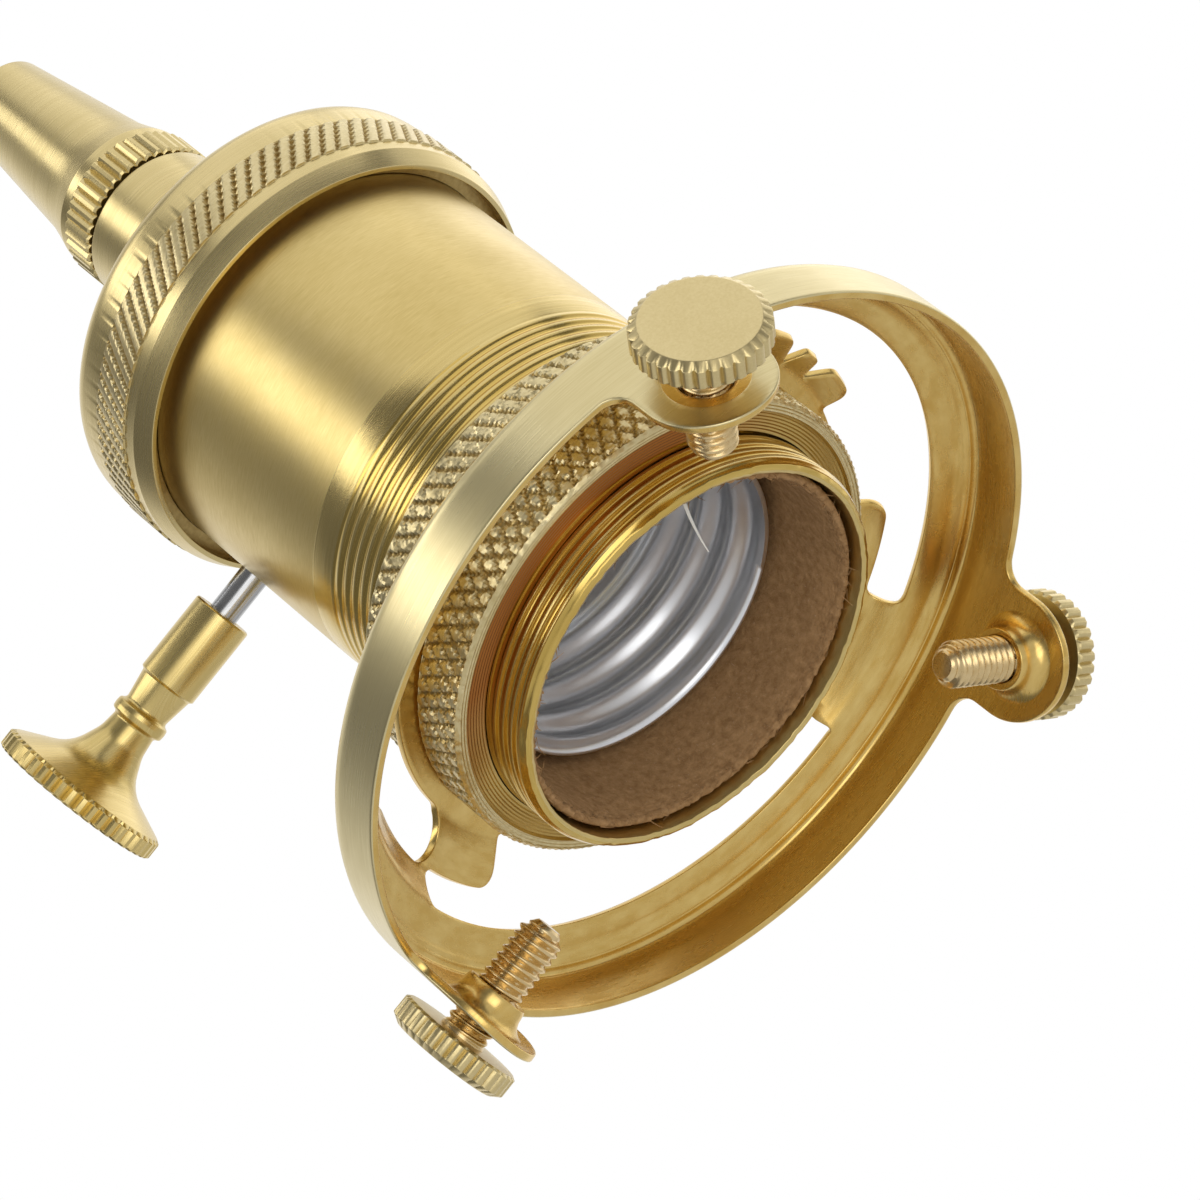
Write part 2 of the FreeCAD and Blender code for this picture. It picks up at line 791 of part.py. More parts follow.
def knob(doc, table):
    """Turned brass knob: sleeve, waist, bead, trumpet flare and serrated disc."""
    taper = table.knob_sleeve_length + table.knob_taper_length
    bead = taper + table.edge_break + table.knob_bead_width
    flare = bead + table.knob_flare_length
    face = flare + table.knob_disc_thickness
    bore = table.spindle_radius + table.seat_gap
    body = turned(doc, "knob", [
        (bore, 0),
        (table.knob_sleeve_radius - table.edge_break, 0),
        (table.knob_sleeve_radius, table.edge_break),
        (table.knob_sleeve_radius, table.knob_sleeve_length),
        (table.knob_neck_radius, taper),
        (table.knob_bead_radius, taper + table.edge_break),
        (table.knob_bead_radius, bead),
        (table.knob_neck_radius, bead + 0.1, table.knob_flare_bend * -1),
        (table.knob_disc_radius - table.knob_lip, flare),
        (table.knob_disc_radius, flare + table.edge_break),
        (table.knob_disc_radius, face - table.edge_break),
        (table.knob_disc_radius - table.edge_break, face),
        (0, face),
        (0, table.knob_socket_depth),
        (bore, table.knob_socket_depth),
    ])
    serrate(doc, body, table.knob_disc_radius, table.knob_tooth_depth, table.knob_teeth)
    return put(body, (table.knob_start * -1, 0, table.knob_height), TO_KNOB)


# ---------------------------------------------------------------- cap, nipple and cord grip

def cap(doc, table):
    """Turned brass cap with a knurled band and a long neck for the cord nipple."""
    knurl_radius = table.cap_rim_radius + table.cap_knurl_proud
    recess = table.cap_lip + table.cap_recess_height
    corner = table.cap_shoulder_radius
    cavity = table.cap_thread_bore - table.cap_step
    body = turned(doc, "cap", [
        (table.cap_lip_bore, table.cap_lip),
        (table.cap_lip_bore + table.cap_lip_wall, table.cap_lip),
        (table.cap_rim_radius, table.cap_rim),
        (table.cap_rim_radius, table.cap_knurl_start),
        (knurl_radius, table.cap_knurl_start + table.cap_knurl_proud),
        (knurl_radius, table.cap_knurl_end - table.cap_knurl_proud),
        (table.cap_rim_radius, table.cap_knurl_end),
        (table.cap_rim_radius, table.cap_top - corner, corner),
        (table.cap_rim_radius - corner, table.cap_top),
        (table.neck_radius, table.cap_top),
        (table.neck_radius, table.neck_top - table.neck_edge),
        (table.neck_radius - table.neck_edge, table.neck_top),
        (table.nipple_hole, table.neck_top),
        (table.nipple_hole, table.cap_ceiling),
        (cavity, table.cap_ceiling),
        (cavity, table.base_top),
        (table.cap_thread_bore, table.base_top),
        (table.cap_thread_bore, recess),
        (table.cap_lip_bore, recess),
    ])
    return body


def nipple(doc, table):
    """Threaded tube through the neck that carries the cord grip."""
    low = table.cap_ceiling - table.nipple_drop
    high = table.nipple_top
    bore = table.nipple_radius - table.nipple_wall
    edge = table.nipple_edge
    return turned(doc, "nipple", [
        (bore, low),
        (table.nipple_radius - edge, low),
        (table.nipple_radius, low + edge),
        (table.nipple_radius, high - edge),
        (table.nipple_radius - edge, high),
        (bore, high),
    ])


def lock_nut(doc, table):
    """Hexagon nut that holds the nipple against the roof of the cap."""
    prism = doc.addObject("Part::Prism", "lock_nut_hexagon")
    prism.Polygon = 6
    bind(prism, Circumradius=table.lock_nut_across * (0.5 / math.cos(math.pi / 6)),
         Height=table.lock_nut_height)
    seat = table.cap_ceiling - table.lock_nut_height
    put(prism, (0, 0, seat))
    bore = cylinder(doc, "lock_nut_bore", table.nipple_hole, table.lock_nut_height * 2,
                    (0, 0, seat - table.lock_nut_height * 0.5))
    return cut(doc, "lock_nut", prism, bore)


def cord_grip(doc, table):
    """Long turned cone that screws on the nipple and squeezes the cord."""
    knurl = table.grip_knurl_length
    tip = table.grip_length
    edge = table.edge_break
    body = turned(doc, "cord_grip", [
        (table.nipple_hole, 0),
        (table.grip_base_radius - edge, 0),
        (table.grip_base_radius, edge),
        (table.grip_base_radius, knurl),
        (table.grip_base_radius - table.grip_tooth_depth, knurl + edge),
        (table.grip_shoulder_radius, knurl + table.grip_shoulder_length),
        (table.grip_tip_radius + edge * 0.5, tip - edge),
        (table.grip_tip_radius - edge * 0.5, tip),
        (table.grip_tip_bore, tip),
        (table.grip_tip_bore, tip - table.grip_tip_bore_length),
        (table.nipple_hole, table.grip_seat - table.grip_start),
    ])
    serrate(doc, body, table.grip_base_radius, table.grip_tooth_depth, table.grip_teeth,
            table.grip_knurl_length)
    return put(body, (0, 0, table.grip_start))


def grip_collet(doc, table):
    """Slotted nylon collet inside the cone."""
    low = table.grip_seat + table.collet_rise
    high = low + table.collet_length
    throat = table.grip_tip - table.grip_tip_bore_length
    taper = (table.nipple_hole - table.grip_tip_bore) / (throat - table.grip_seat)
    bore = table.grip_tip_bore - table.collet_bore_step
    wide = table.nipple_hole - table.collet_gap - taper * table.collet_rise
    body = turned(doc, "collet_cone", [
        (bore, low),
        (wide, low),
        (wide - taper * table.collet_length, high),
        (bore, high),
    ])
    slot = box(doc, "collet_slot", table.nipple_radius, table.collet_slot, table.collet_length,
               (table.nipple_radius * -1, table.collet_slot * -0.5, low + table.collet_length * 0.25))
    return cut(doc, "grip_collet", body, slot)


# ---------------------------------------------------------------- shade rings

def ring_outline(table, low, high):
    """Section of a shade ring with a lightly recessed inner face towards the mouth."""
    bore = table.ring_bore
    edge = table.ring_radius - table.ring_chamfer
    step = table.ring_radius - table.ring_face_width
    return [
        (bore, low + table.ring_step_depth),
        (step - table.ring_step_depth, low + table.ring_step_depth),
        (step, low),
        (edge, low),
        (table.ring_radius, low + table.ring_chamfer),
        (table.ring_radius, high - table.ring_chamfer),
        (edge, high),
        (bore, high),
    ]


def lower_shade_ring(doc, table):
    high = table.plate_height
    return turned(doc, "lower_shade_ring", ring_outline(table, high - table.lower_ring_height, high))


def upper_shade_ring(doc, table):
    low = table.plate_height + table.sheet
    return turned(doc, "upper_shade_ring", ring_outline(table, low, low + table.upper_ring_height))


# ---------------------------------------------------------------- gallery

def dished_blank(doc, table):
    """The sheet before piercing: rim band, rolled corner, flange, dish and flat plate."""
    sheet = table.sheet
    inner = table.gallery_radius - sheet
    bend = table.gallery_corner - sheet
    bore = table.thread_crest + table.plate_bore_gap
    section = sheet_section([
        (table.bead_radius, table.bead_height),
        (table.valley_radius, table.valley_height),
        (table.flange_bore, table.flange_height),
        (table.arm_bend_radius, table.arm_bend_height),
        (table.plate_radius, table.plate_height),
        (bore, table.plate_height),
    ][::-1], sheet)
    faces = section[:6]
    backs = section[6:]
    corner_radius = table.gallery_radius - table.gallery_corner
    rim = table.gallery_rim_height
    outline = [
        (inner, rim),
        (table.gallery_radius, rim),
        (table.gallery_radius, table.corner_height, table.gallery_corner),
        (corner_radius, table.corner_height + table.gallery_corner),
    ]
    outline += backs
    outline += faces
    outline += [
        (corner_radius, table.corner_height + bend, bend * -1),
        (inner, table.corner_height),
    ]
    return turned(doc, "gallery_sheet", outline)


def window_outline(table):
    """One of the three windows, run round from the flange end of an arm to the next ear."""
    def at(radius, degrees, *arc):
        return around(radius, degrees) + arc

    hub = table.window_bore
    ear_end = 120 - table.ear_angle
    slot = (table.flange_bore - table.ear_radius) * 0.52
    relief = (table.relief_radius - hub) * 0.52
    round_angle = table.ear_round / table.ear_radius * math.degrees(1.0)
    tooth = table.tooth_angle
    start = tooth + table.lobe_start_angle
    stop = tooth + table.lobe_end_angle
    outline = [
        at(table.flange_bore, table.arm_angle + 0.5, table.flange_bore),
        at(table.flange_bore, 120.0, slot),
        at(table.ear_radius, 120.0, table.ear_radius * -1),
        at(table.ear_radius, ear_end + round_angle, table.ear_round * -1),
        at(table.ear_radius - table.ear_round, ear_end),
        at(hub, ear_end, hub * -1),
        at(hub, stop + 0.5),
        at(table.lobe_reach - 0.6, stop, -0.9),
        at(table.lobe_reach, stop - 1.8, table.lobe_reach * -1),
        at(table.lobe_reach, start + 1.2, -0.9),
        at(table.lobe_reach - 0.5, start),
        at(hub, tooth + table.notch_half_angle),
        at(table.tooth_reach, tooth + table.tooth_half_angle, table.tooth_reach * -1),
        at(table.tooth_reach, tooth - table.tooth_half_angle),
        at(hub, tooth - table.notch_half_angle),
        at(table.lobe_reach - 0.5, tooth - table.lobe_start_angle, -0.9),
        at(table.lobe_reach, tooth - table.lobe_start_angle - 1.2, table.lobe_reach * -1),
        at(table.lobe_reach, tooth - table.lobe_end_angle + 1.8, -0.9),
        at(table.lobe_reach - 0.6, tooth - table.lobe_end_angle),
        at(hub, tooth - table.lobe_end_angle - 0.5, hub * -1),
        at(hub, table.relief_angle, relief),
        at(table.relief_radius, table.relief_angle, table.relief_radius),
        at(table.relief_radius, table.arm_angle - 2.5),
        at(table.relief_radius + 0.4, table.arm_angle - 0.7),
        at(table.relief_radius + 0.8, table.arm_angle + 1.2),
    ]
    return outline


def pierced_sheet(doc, table):
    """Cut the window through the dished sheet three times."""
    body = dished_blank(doc, table)
    sketch = new_sketch(body, "gallery_window", "XY_Plane")
    draw_outline(sketch, window_outline(table))
    window = body.newObject("PartDesign::Pocket", "gallery_window_cut")
    window.Profile = sketch
    window.Type = "ThroughAll"
    window.Reversed = True
    doc.recompute()
    ring = body.newObject("PartDesign::PolarPattern", "gallery_windows")
    ring.Originals = [window]
    ring.Axis = (sketch, ["N_Axis"])
    ring.Angle = 360.0
    ring.Occurrences = 3
    body.Tip = ring
    put(body, (0, 0, 0), Rotation(Vector(0, 0, 1), 60.0))
    doc.recompute()
    return body


def lug_plates(doc, table):
    """Three round-ended lugs that carry the band on past its rim."""
    low = table.screw_height - table.lug_radius
    skirt = turned(doc, "lug_skirt", [
        (table.gallery_radius - table.sheet, low),
        (table.gallery_radius, low),
        (table.gallery_radius, table.gallery_rim_height),
        (table.gallery_radius - table.sheet, table.gallery_rim_height),
    ])
    prisms = []
    length = table.gallery_radius * 0.5
    for number, angle in LUG_ANGLES.items():
        start = around(table.gallery_radius * 0.7, angle) + (table.screw_height,)
        prisms.append(cylinder(doc, "lug_round_%d" % number, table.lug_radius, length, start, outward(angle)))
        side = around(table.gallery_radius * 0.7, angle)
        across = around(table.lug_radius, angle - 90.0)
        corner = (side[0] + across[0], side[1] + across[1], table.screw_height)
        turn = Rotation(Vector(0, 0, 1), angle)
        prisms.append(box(doc, "lug_block_%d" % number, length, table.lug_radius * 2,
                          table.lug_drop * 1.5, corner, turn))
    return shared(doc, "lug_plates", skirt, fused(doc, "lug_prisms", prisms))


def lug_collars(doc, table):
    """Collars drawn inwards round the three screw holes."""
    collars = []
    for number, angle in LUG_ANGLES.items():
        cone = doc.addObject("Part::Cone", "lug_collar_%d" % number)
        top = table.screw_hole + table.collar_wall
        bind(cone, Radius1=top, Radius2=top + table.collar_flare,
             Height=table.collar_height + table.sheet * 0.4)
        reach = table.gallery_radius - table.sheet - table.collar_height
        put(cone, around(reach, angle) + (table.screw_height,), outward(angle))
        collars.append(cone)
    return collars


def gallery(doc, table):
    """Pressed brass shade gallery with three sprung arms and three screw lugs."""
    solids = [pierced_sheet(doc, table), lug_plates(doc, table)] + lug_collars(doc, table)
    holes = []
    for number, angle in LUG_ANGLES.items():
        start = around(table.gallery_radius * 0.7, angle) + (table.screw_height,)
        holes.append(cylinder(doc, "lug_hole_%d" % number, table.screw_hole, table.gallery_radius * 0.5,
                              start, outward(angle)))
    return cut(doc, "gallery", fused(doc, "gallery_solid", solids), fused(doc, "lug_holes", holes))


def thumb_screw(doc, table, number):
    """Shade screw with a serrated round head and a blunt conical tip."""
    name = "thumb_screw_%d" % number
    chamfer = table.screw_radius - table.screw_tip_radius
    head = table.screw_length
    face = head + table.screw_head_thickness
    edge = table.screw_head_radius - table.edge_break * 2
    body = turned(doc, name, [
        (0, 0),
        (table.screw_tip_radius, 0),
        (table.screw_radius, chamfer),
        (table.screw_radius, head),
        (edge, head),
        (table.screw_head_radius, head + table.edge_break * 2),
        (table.screw_head_radius, face - table.edge_break * 2),
        (edge, face),
        (0, face),
    ])
    serrate(doc, body, table.screw_head_radius, table.screw_tooth_depth, table.screw_teeth)
    angle = LUG_ANGLES[number]
    tip = table.gallery_radius + getattr(table, HEAD_GAPS[number]) - table.screw_length
    return put(body, around(tip, angle) + (table.screw_height,), outward(angle))


# ---------------------------------------------------------------- the whole holder

def build_all(doc, table):
    """Build every sub-part and return them in the order they are assembled."""
    parts = [
        outer_shell(doc, table),
        liner(doc, table),
        screw_shell(doc, table),
        shell_rivets(doc, table),
        socket_base(doc, table),
        centre_contact(doc, table),
        contact_rivet(doc, table),
        terminal(doc, table, "line_terminal", 1),
        terminal(doc, table, "neutral_terminal", -1),
        terminal_screws(doc, table),
        switch_cover(doc, table),
        switch_spring(doc, table),
        switch_cam(doc, table),
        spindle(doc, table),
        knob(doc, table),
        cap(doc, table),
        nipple(doc, table),
        lock_nut(doc, table),
        cord_grip(doc, table),
        grip_collet(doc, table),
        lower_shade_ring(doc, table),
        upper_shade_ring(doc, table),
        gallery(doc, table),
    ]
    parts += [thumb_screw(doc, table, number) for number in LUG_ANGLES]
    doc.recompute()
    return parts


def check(doc, parts):
    """Stop if any object failed or any sub-part has no sound shape."""
    for obj in doc.Objects:
        if "Invalid" in obj.State or "Error" in obj.State:
            raise RuntimeError("%s did not build: %s" % (obj.Name, obj.State))
    for part in parts:
        if part.Shape.isNull() or not part.Shape.isValid():
            raise RuntimeError("%s has no sound shape" % part.Label)
        if part.Shape.Volume <= 0:
            raise RuntimeError("%s has no volume" % part.Label)


def main():
    doc = FreeCAD.newDocument("lamp_holder")
    table = SizeTable(doc, DIMENSIONS)
    parts = build_all(doc, table)
    check(doc, parts)
    os.makedirs("parts", exist_ok=True)
    for part in parts:
        part.Shape.exportStep(os.path.join("parts", part.Label + ".step"))
        print("%-18s %9.1f mm3" % (part.Label, part.Shape.Volume))


main()
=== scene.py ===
"""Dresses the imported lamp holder: brass turnings, pressed gallery, lamp thread and cardboard liner."""

import json
import math

import bmesh
import bpy
import numpy as np
from mathutils import Matrix, Vector
from mathutils.geometry import delaunay_2d_cdt


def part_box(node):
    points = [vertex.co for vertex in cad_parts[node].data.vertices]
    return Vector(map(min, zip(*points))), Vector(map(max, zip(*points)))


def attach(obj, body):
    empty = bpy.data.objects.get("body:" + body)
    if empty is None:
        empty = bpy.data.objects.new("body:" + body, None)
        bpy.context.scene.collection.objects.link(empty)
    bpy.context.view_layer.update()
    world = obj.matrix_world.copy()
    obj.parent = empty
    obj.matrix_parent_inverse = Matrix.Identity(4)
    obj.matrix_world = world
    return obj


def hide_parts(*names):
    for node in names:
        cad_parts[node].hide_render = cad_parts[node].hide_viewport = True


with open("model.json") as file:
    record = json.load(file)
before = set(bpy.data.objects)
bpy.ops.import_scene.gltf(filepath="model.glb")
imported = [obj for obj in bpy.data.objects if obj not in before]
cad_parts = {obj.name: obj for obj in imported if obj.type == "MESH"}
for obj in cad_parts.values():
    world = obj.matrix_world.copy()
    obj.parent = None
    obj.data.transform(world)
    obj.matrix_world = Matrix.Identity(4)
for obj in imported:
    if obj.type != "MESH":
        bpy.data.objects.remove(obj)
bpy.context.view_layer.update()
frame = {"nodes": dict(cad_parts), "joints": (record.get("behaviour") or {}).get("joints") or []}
MM = 0.001
TAU = 2.0 * math.pi


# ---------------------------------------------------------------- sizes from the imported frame, in millimetres

def heights(node):
    """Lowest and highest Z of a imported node."""
    low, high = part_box(node)
    return low.z / MM, high.z / MM


def reach(node):
    """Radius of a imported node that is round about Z, half of its width along Y."""
    low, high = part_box(node)
    return (high.y - low.y) / 2.0 / MM


def along(node, axis):
    """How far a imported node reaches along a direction, from its lowest to its highest point."""
    direction = Vector(axis)
    distances = [direction.dot(vertex.co) / MM for vertex in frame["nodes"][node].data.vertices]
    return min(distances), max(distances)


JOINTS = {joint["name"]: joint for joint in frame["joints"]}
SHELL_RADIUS = reach("outer_shell")
SHELL_LOW, SHELL_HIGH = heights("outer_shell")
CAP_LOW, CAP_HIGH = heights("cap")
CAP_RADIUS = reach("cap")
GRIP_LOW, GRIP_HIGH = heights("cord_grip")
GRIP_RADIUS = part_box("cord_grip")[1].x / MM
BAND_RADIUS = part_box("gallery")[1].x / MM
LINER_LOW, LINER_HIGH = heights("liner")
LAMP_LOW, LAMP_HIGH = heights("screw_shell")
KNOB_LOW, KNOB_HIGH = along("knob", (-1, 0, 0))
KNOB_LEVEL = JOINTS["switch_turn"]["pos_m"][2] / MM
SCREWS = {"thumb_screw_%d" % number: JOINTS["screw_%d_travel" % number] for number in (1, 2, 3)}
SCREW_LEVEL = sum(heights("thumb_screw_1")) / 2.0
LUGS = sorted(math.degrees(math.atan2(joint["axis"][1], joint["axis"][0])) % 360.0 for joint in SCREWS.values())


# ---------------------------------------------------------------- mesh helpers (millimetres in, metres out)

def new_object(name, points, faces, materials, face_materials=None, matrix=None, angle=35.0):
    """A mesh object from points in millimetres; edges sharper than the angle stay crisp."""
    mesh = bpy.data.meshes.new(name)
    mesh.from_pydata((np.asarray(points, dtype=float) * MM).tolist(), [], [list(face) for face in faces])
    for material in materials:
        mesh.materials.append(material)
    if face_materials is not None:
        mesh.polygons.foreach_set("material_index", np.asarray(face_materials, dtype=np.int32))
    mesh.shade_smooth()
    mesh.set_sharp_from_angle(angle=math.radians(angle))
    mesh.update()
    obj = bpy.data.objects.new(name, mesh)
    bpy.context.scene.collection.objects.link(obj)
    if matrix is not None:
        obj.matrix_world = matrix
    return obj


def grid_faces(rows, columns):
    """Quads of a grid whose vertices run row by row, closed both ways."""
    row = np.repeat(np.arange(rows), columns)
    column = np.tile(np.arange(columns), rows)
    next_row = (row + 1) % rows
    next_column = (column + 1) % columns
    return np.stack([row * columns + column, row * columns + next_column,
                     next_row * columns + next_column, next_row * columns + column], axis=1)


def fillet(corners, closed=True, steps=4):
    """Round the corners of a section; each corner is (a, b), or (a, b, radius)."""
    points = []
    count = len(corners)
    for index, corner in enumerate(corners):
        here = np.array(corner[:2], dtype=float)
        radius = corner[2] if len(corner) > 2 else 0.0
        if radius <= 0.0 or (not closed and index in (0, count - 1)):
            points.append(here)
            continue
        before = np.array(corners[index - 1][:2], dtype=float) - here
        after = np.array(corners[(index + 1) % count][:2], dtype=float) - here
        before_length, after_length = np.linalg.norm(before), np.linalg.norm(after)
        before, after = before / before_length, after / after_length
        half = math.acos(max(-1.0, min(1.0, float(before @ after)))) / 2.0
        run = min(radius / math.tan(half), before_length * 0.49, after_length * 0.49)
        radius = run * math.tan(half)
        centre = here + (before + after) / np.linalg.norm(before + after) * (radius / math.sin(half))
        first, last = here + before * run - centre, here + after * run - centre
        turn = math.atan2(first[0] * last[1] - first[1] * last[0], float(first @ last))
        for step in range(steps + 1):
            angle = turn * step / steps
            cos, sin = math.cos(angle), math.sin(angle)
            points.append(centre + np.array([first[0] * cos - first[1] * sin, first[0] * sin + first[1] * cos]))
    return np.array(points)


def refine(section, low, high, step):
    """Split the section's rising edges between two heights, so that relief can be cut there."""
    result = []
    count = len(section)
    for index in range(count):
        here, there = section[index], section[(index + 1) % count]
        result.append(here)
        rise = there[1] - here[1]
        if rise > 1e-6 and here[1] < high and there[1] > low:
            cuts = int(rise / step)
            for cut in range(1, cuts):
                result.append(here + (there - here) * cut / cuts)
    return np.array(result)


# Faces round the turnings that have no teeth or knurl.
SHELL_AROUND, LAMP_AROUND, LINER_AROUND, COLLAR_AROUND = 192, 216, 400, 64


def turned(name, section, around, materials, relief, choose=None, matrix=None, angle=35.0):
    """A section of (radius, height) turned round Z; relief moves points outwards, choose picks materials."""
    turn = np.arange(around) * TAU / around
    radius = np.repeat(section[None, :, 0], around, axis=0)
    height = np.repeat(section[None, :, 1], around, axis=0)
    angle_grid = np.repeat(turn[:, None], len(section), axis=1)
    radius, height = relief(angle_grid, radius, height)
    points = np.stack([radius * np.cos(angle_grid), radius * np.sin(angle_grid), height], axis=2)
    faces = grid_faces(around, len(section))
    chosen = None
    if choose is not None:
        middle_radius = radius.reshape(-1)[faces].mean(axis=1)
        middle_height = height.reshape(-1)[faces].mean(axis=1)
        chosen = choose(middle_radius, middle_height)
    return new_object(name, points.reshape(-1, 3), faces, materials, chosen, matrix, angle)


def triangle_wave(phase):
    """0 at whole numbers, 1 half way between them."""
    return 1.0 - np.abs(2.0 * (phase - np.floor(phase)) - 1.0)


def wander(turn, seed, counts):
    """A gentle irregular wave round a full turn, mostly between -1.5 and 1.5."""
    phases = np.random.default_rng(seed).uniform(0.0, TAU, len(counts))
    return sum(np.sin(count * turn + phase) for count, phase in zip(counts, phases)) / math.sqrt(len(counts))


def window(value, low, high, edge):
    """1 inside the range, falling to 0 over the edge width inside it."""
    return np.clip(np.minimum(value - low, high - value) / edge, 0.0, 1.0)


def outward_matrix(radius, degrees, height):
    """Places an object's Z along the radius at an angle about the lamp axis, with its origin at the radius."""
    turn = math.radians(degrees)
    out = Vector((math.cos(turn), math.sin(turn), 0.0))
    side = Vector((-math.sin(turn), math.cos(turn), 0.0))
    up = out.cross(side)
    rotation = Matrix((side, up, out)).transposed().to_4x4()
    return Matrix.Translation(Vector((out.x * radius, out.y * radius, height)) * MM) @ rotation


def joined(name, parts):
    """One object from several, which are removed."""
    meshes = bmesh.new()
    for part in parts:
        copy = part.data.copy()
        copy.transform(part.matrix_world)
        meshes.from_mesh(copy)
        bpy.data.meshes.remove(copy)
    mesh = bpy.data.meshes.new(name)
    meshes.to_mesh(mesh)
    meshes.free()
    for material in parts[0].data.materials:
        mesh.materials.append(material)
    obj = bpy.data.objects.new(name, mesh)
    bpy.context.scene.collection.objects.link(obj)
    for part in parts:
        bpy.data.objects.remove(part)
    return obj


def applied(obj):
    """The object with its modifiers turned into mesh."""
    bpy.context.view_layer.update()
    graph = bpy.context.evaluated_depsgraph_get()
    mesh = bpy.data.meshes.new_from_object(obj.evaluated_get(graph))
    obj.modifiers.clear()
    obj.data = mesh
    return obj


def place(obj, body, slot, *nodes):
    """Ride a body and stand for CAD nodes; the slot is not used."""
    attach(obj, body)
    if nodes:
        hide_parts(*nodes)
    return obj


# ---------------------------------------------------------------- materials

class Nodes:
    """Short calls for building a material's node tree."""

    def __init__(self, name):
        self.material = bpy.data.materials.new(name)
        self.material.use_nodes = True
        self.tree = self.material.node_tree
        self.shader = self.tree.nodes["Principled BSDF"]
        coordinates = self.tree.nodes.new("ShaderNodeTexCoord")
        self.place = coordinates.outputs["Object"]

    def link(self, source, target):
        """Join an output to an input."""
        self.tree.links.new(source, target)

    def scaled(self, x, y, z):
        """Object coordinates in millimetres, stretched along each axis."""
        node = self.tree.nodes.new("ShaderNodeMapping")
        node.inputs["Scale"].default_value = (x * 1000.0, y * 1000.0, z * 1000.0)
        self.link(self.place, node.inputs["Vector"])
        return node.outputs["Vector"]

    def noise(self, vector, detail, roughness):
        """Cloudy values between 0 and 1."""
        node = self.tree.nodes.new("ShaderNodeTexNoise")
        node.inputs["Scale"].default_value = 1.0
        node.inputs["Detail"].default_value = detail
        node.inputs["Roughness"].default_value = roughness
        self.link(vector, node.inputs["Vector"])
        return node.outputs["Fac"]

    def spread(self, value, low, high, new_low, new_high):
        """A value moved from one range to another and held inside it."""
        node = self.tree.nodes.new("ShaderNodeMapRange")
        for socket, number in zip(("From Min", "From Max", "To Min", "To Max"), (low, high, new_low, new_high)):
            node.inputs[socket].default_value = number
        self.link(value, node.inputs["Value"])
        return node.outputs["Result"]

    def mix(self, factor, first, second):
        """A colour between two colours."""
        node = self.tree.nodes.new("ShaderNodeMix")
        node.data_type = "RGBA"
        for socket, value in ((node.inputs["Factor"], factor), (node.inputs["A"], first), (node.inputs["B"], second)):
            self.feed(value, socket)
        return node.outputs["Result"]

    def feed(self, value, socket):
        """Give an input an output, a number or a colour."""
        if isinstance(value, bpy.types.NodeSocket):
            self.link(value, socket)
        elif isinstance(value, (int, float)):
            socket.default_value = value
        else:
            socket.default_value = tuple(value) + (1.0,)

    def math(self, operation, first, second):
        """One step of arithmetic on two values."""
        node = self.tree.nodes.new("ShaderNodeMath")
        node.operation = operation
        for socket, value in zip(node.inputs, (first, second)):
            self.feed(value, socket)
        return node.outputs["Value"]

    def bump(self, height, distance):
        """Fine relief; the distance is in millimetres."""
        node = self.tree.nodes.new("ShaderNodeBump")
        node.inputs["Distance"].default_value = distance * MM
        node.inputs["Strength"].default_value = 1.0
        self.link(height, node.inputs["Height"])
        self.link(node.outputs["Normal"], self.shader.inputs["Normal"])


def brass(name, stretch, roughness, base, light, relief=0.004, patches=0.12, painted_tint=None):
    """Satin brass with fine lines; the stretch is low along the lines and high across them."""
    nodes = Nodes(name)
    fine = nodes.noise(nodes.scaled(*stretch), 4.0, 0.6)
    broad = nodes.noise(nodes.scaled(patches, patches, patches), 3.0, 0.5)
    tint = nodes.math("ADD", nodes.math("MULTIPLY", fine, 0.6), nodes.math("MULTIPLY", broad, 0.4))
    colour = nodes.mix(nodes.spread(tint, 0.35, 0.65, 0.0, 1.0), base, light)
    # painted_tint paints light into the colour; the ring recess uses it for the thread's painted reflection.
    if painted_tint is not None:
        colour = painted_tint(nodes, colour)
    nodes.link(colour, nodes.shader.inputs["Base Color"])
    nodes.link(nodes.spread(tint, 0.3, 0.7, roughness + 0.06, roughness - 0.05), nodes.shader.inputs["Roughness"])
    nodes.shader.inputs["Metallic"].default_value = 1.0
    nodes.bump(fine, relief)
    return nodes.material


def painted_thread_reflection(nodes, colour):
    """Painted reflection: turns the colour copper on the -Y side of the ring's face, standing for the brass thread
    mirrored there.
    """
    split = nodes.tree.nodes.new("ShaderNodeSeparateXYZ")
    nodes.link(nodes.place, split.inputs["Vector"])
    side = nodes.spread(split.outputs["Y"], -0.004, -0.013, 0.0, 1.0)
    return nodes.mix(side, colour, (0.37, 0.145, 0.037))


STRAW, PALE = (0.63, 0.475, 0.175), (0.74, 0.58, 0.25)
# Painted shade and reflection: the darker, deeper gold of the shade rings' face recess.
RECESS_PAINTED_GOLD, RECESS_PAINTED_SHADE = (0.66, 0.48, 0.17), (0.52, 0.36, 0.11)
BRASS_BODY = brass("brass_satin_body", (0.8, 0.8, 11.0), 0.33, STRAW, PALE, 0.008)
# Painted reflection: the thread valleys are a deeper orange gold for light bounced inside them.
BRASS_THREAD_PAINTED_REFLECTION = brass("brass_thread_valley_painted_reflection", (0.1, 0.1, 9.0), 0.18, (0.60, 0.41, 0.10), (0.72, 0.52, 0.16))
BRASS_FINE = brass("brass_fine_turned", (0.02, 0.02, 5.0), 0.22, STRAW, PALE, 0.03)
BRASS_TURNED = brass("brass_turned_fine", (0.1, 0.1, 12.0), 0.27, (0.64, 0.51, 0.23), (0.74, 0.60, 0.30))
BRASS_KNURL = brass("brass_knurl_tops", (2.0, 2.0, 9.0), 0.30, (0.60, 0.48, 0.23), (0.78, 0.66, 0.38), 0.03)
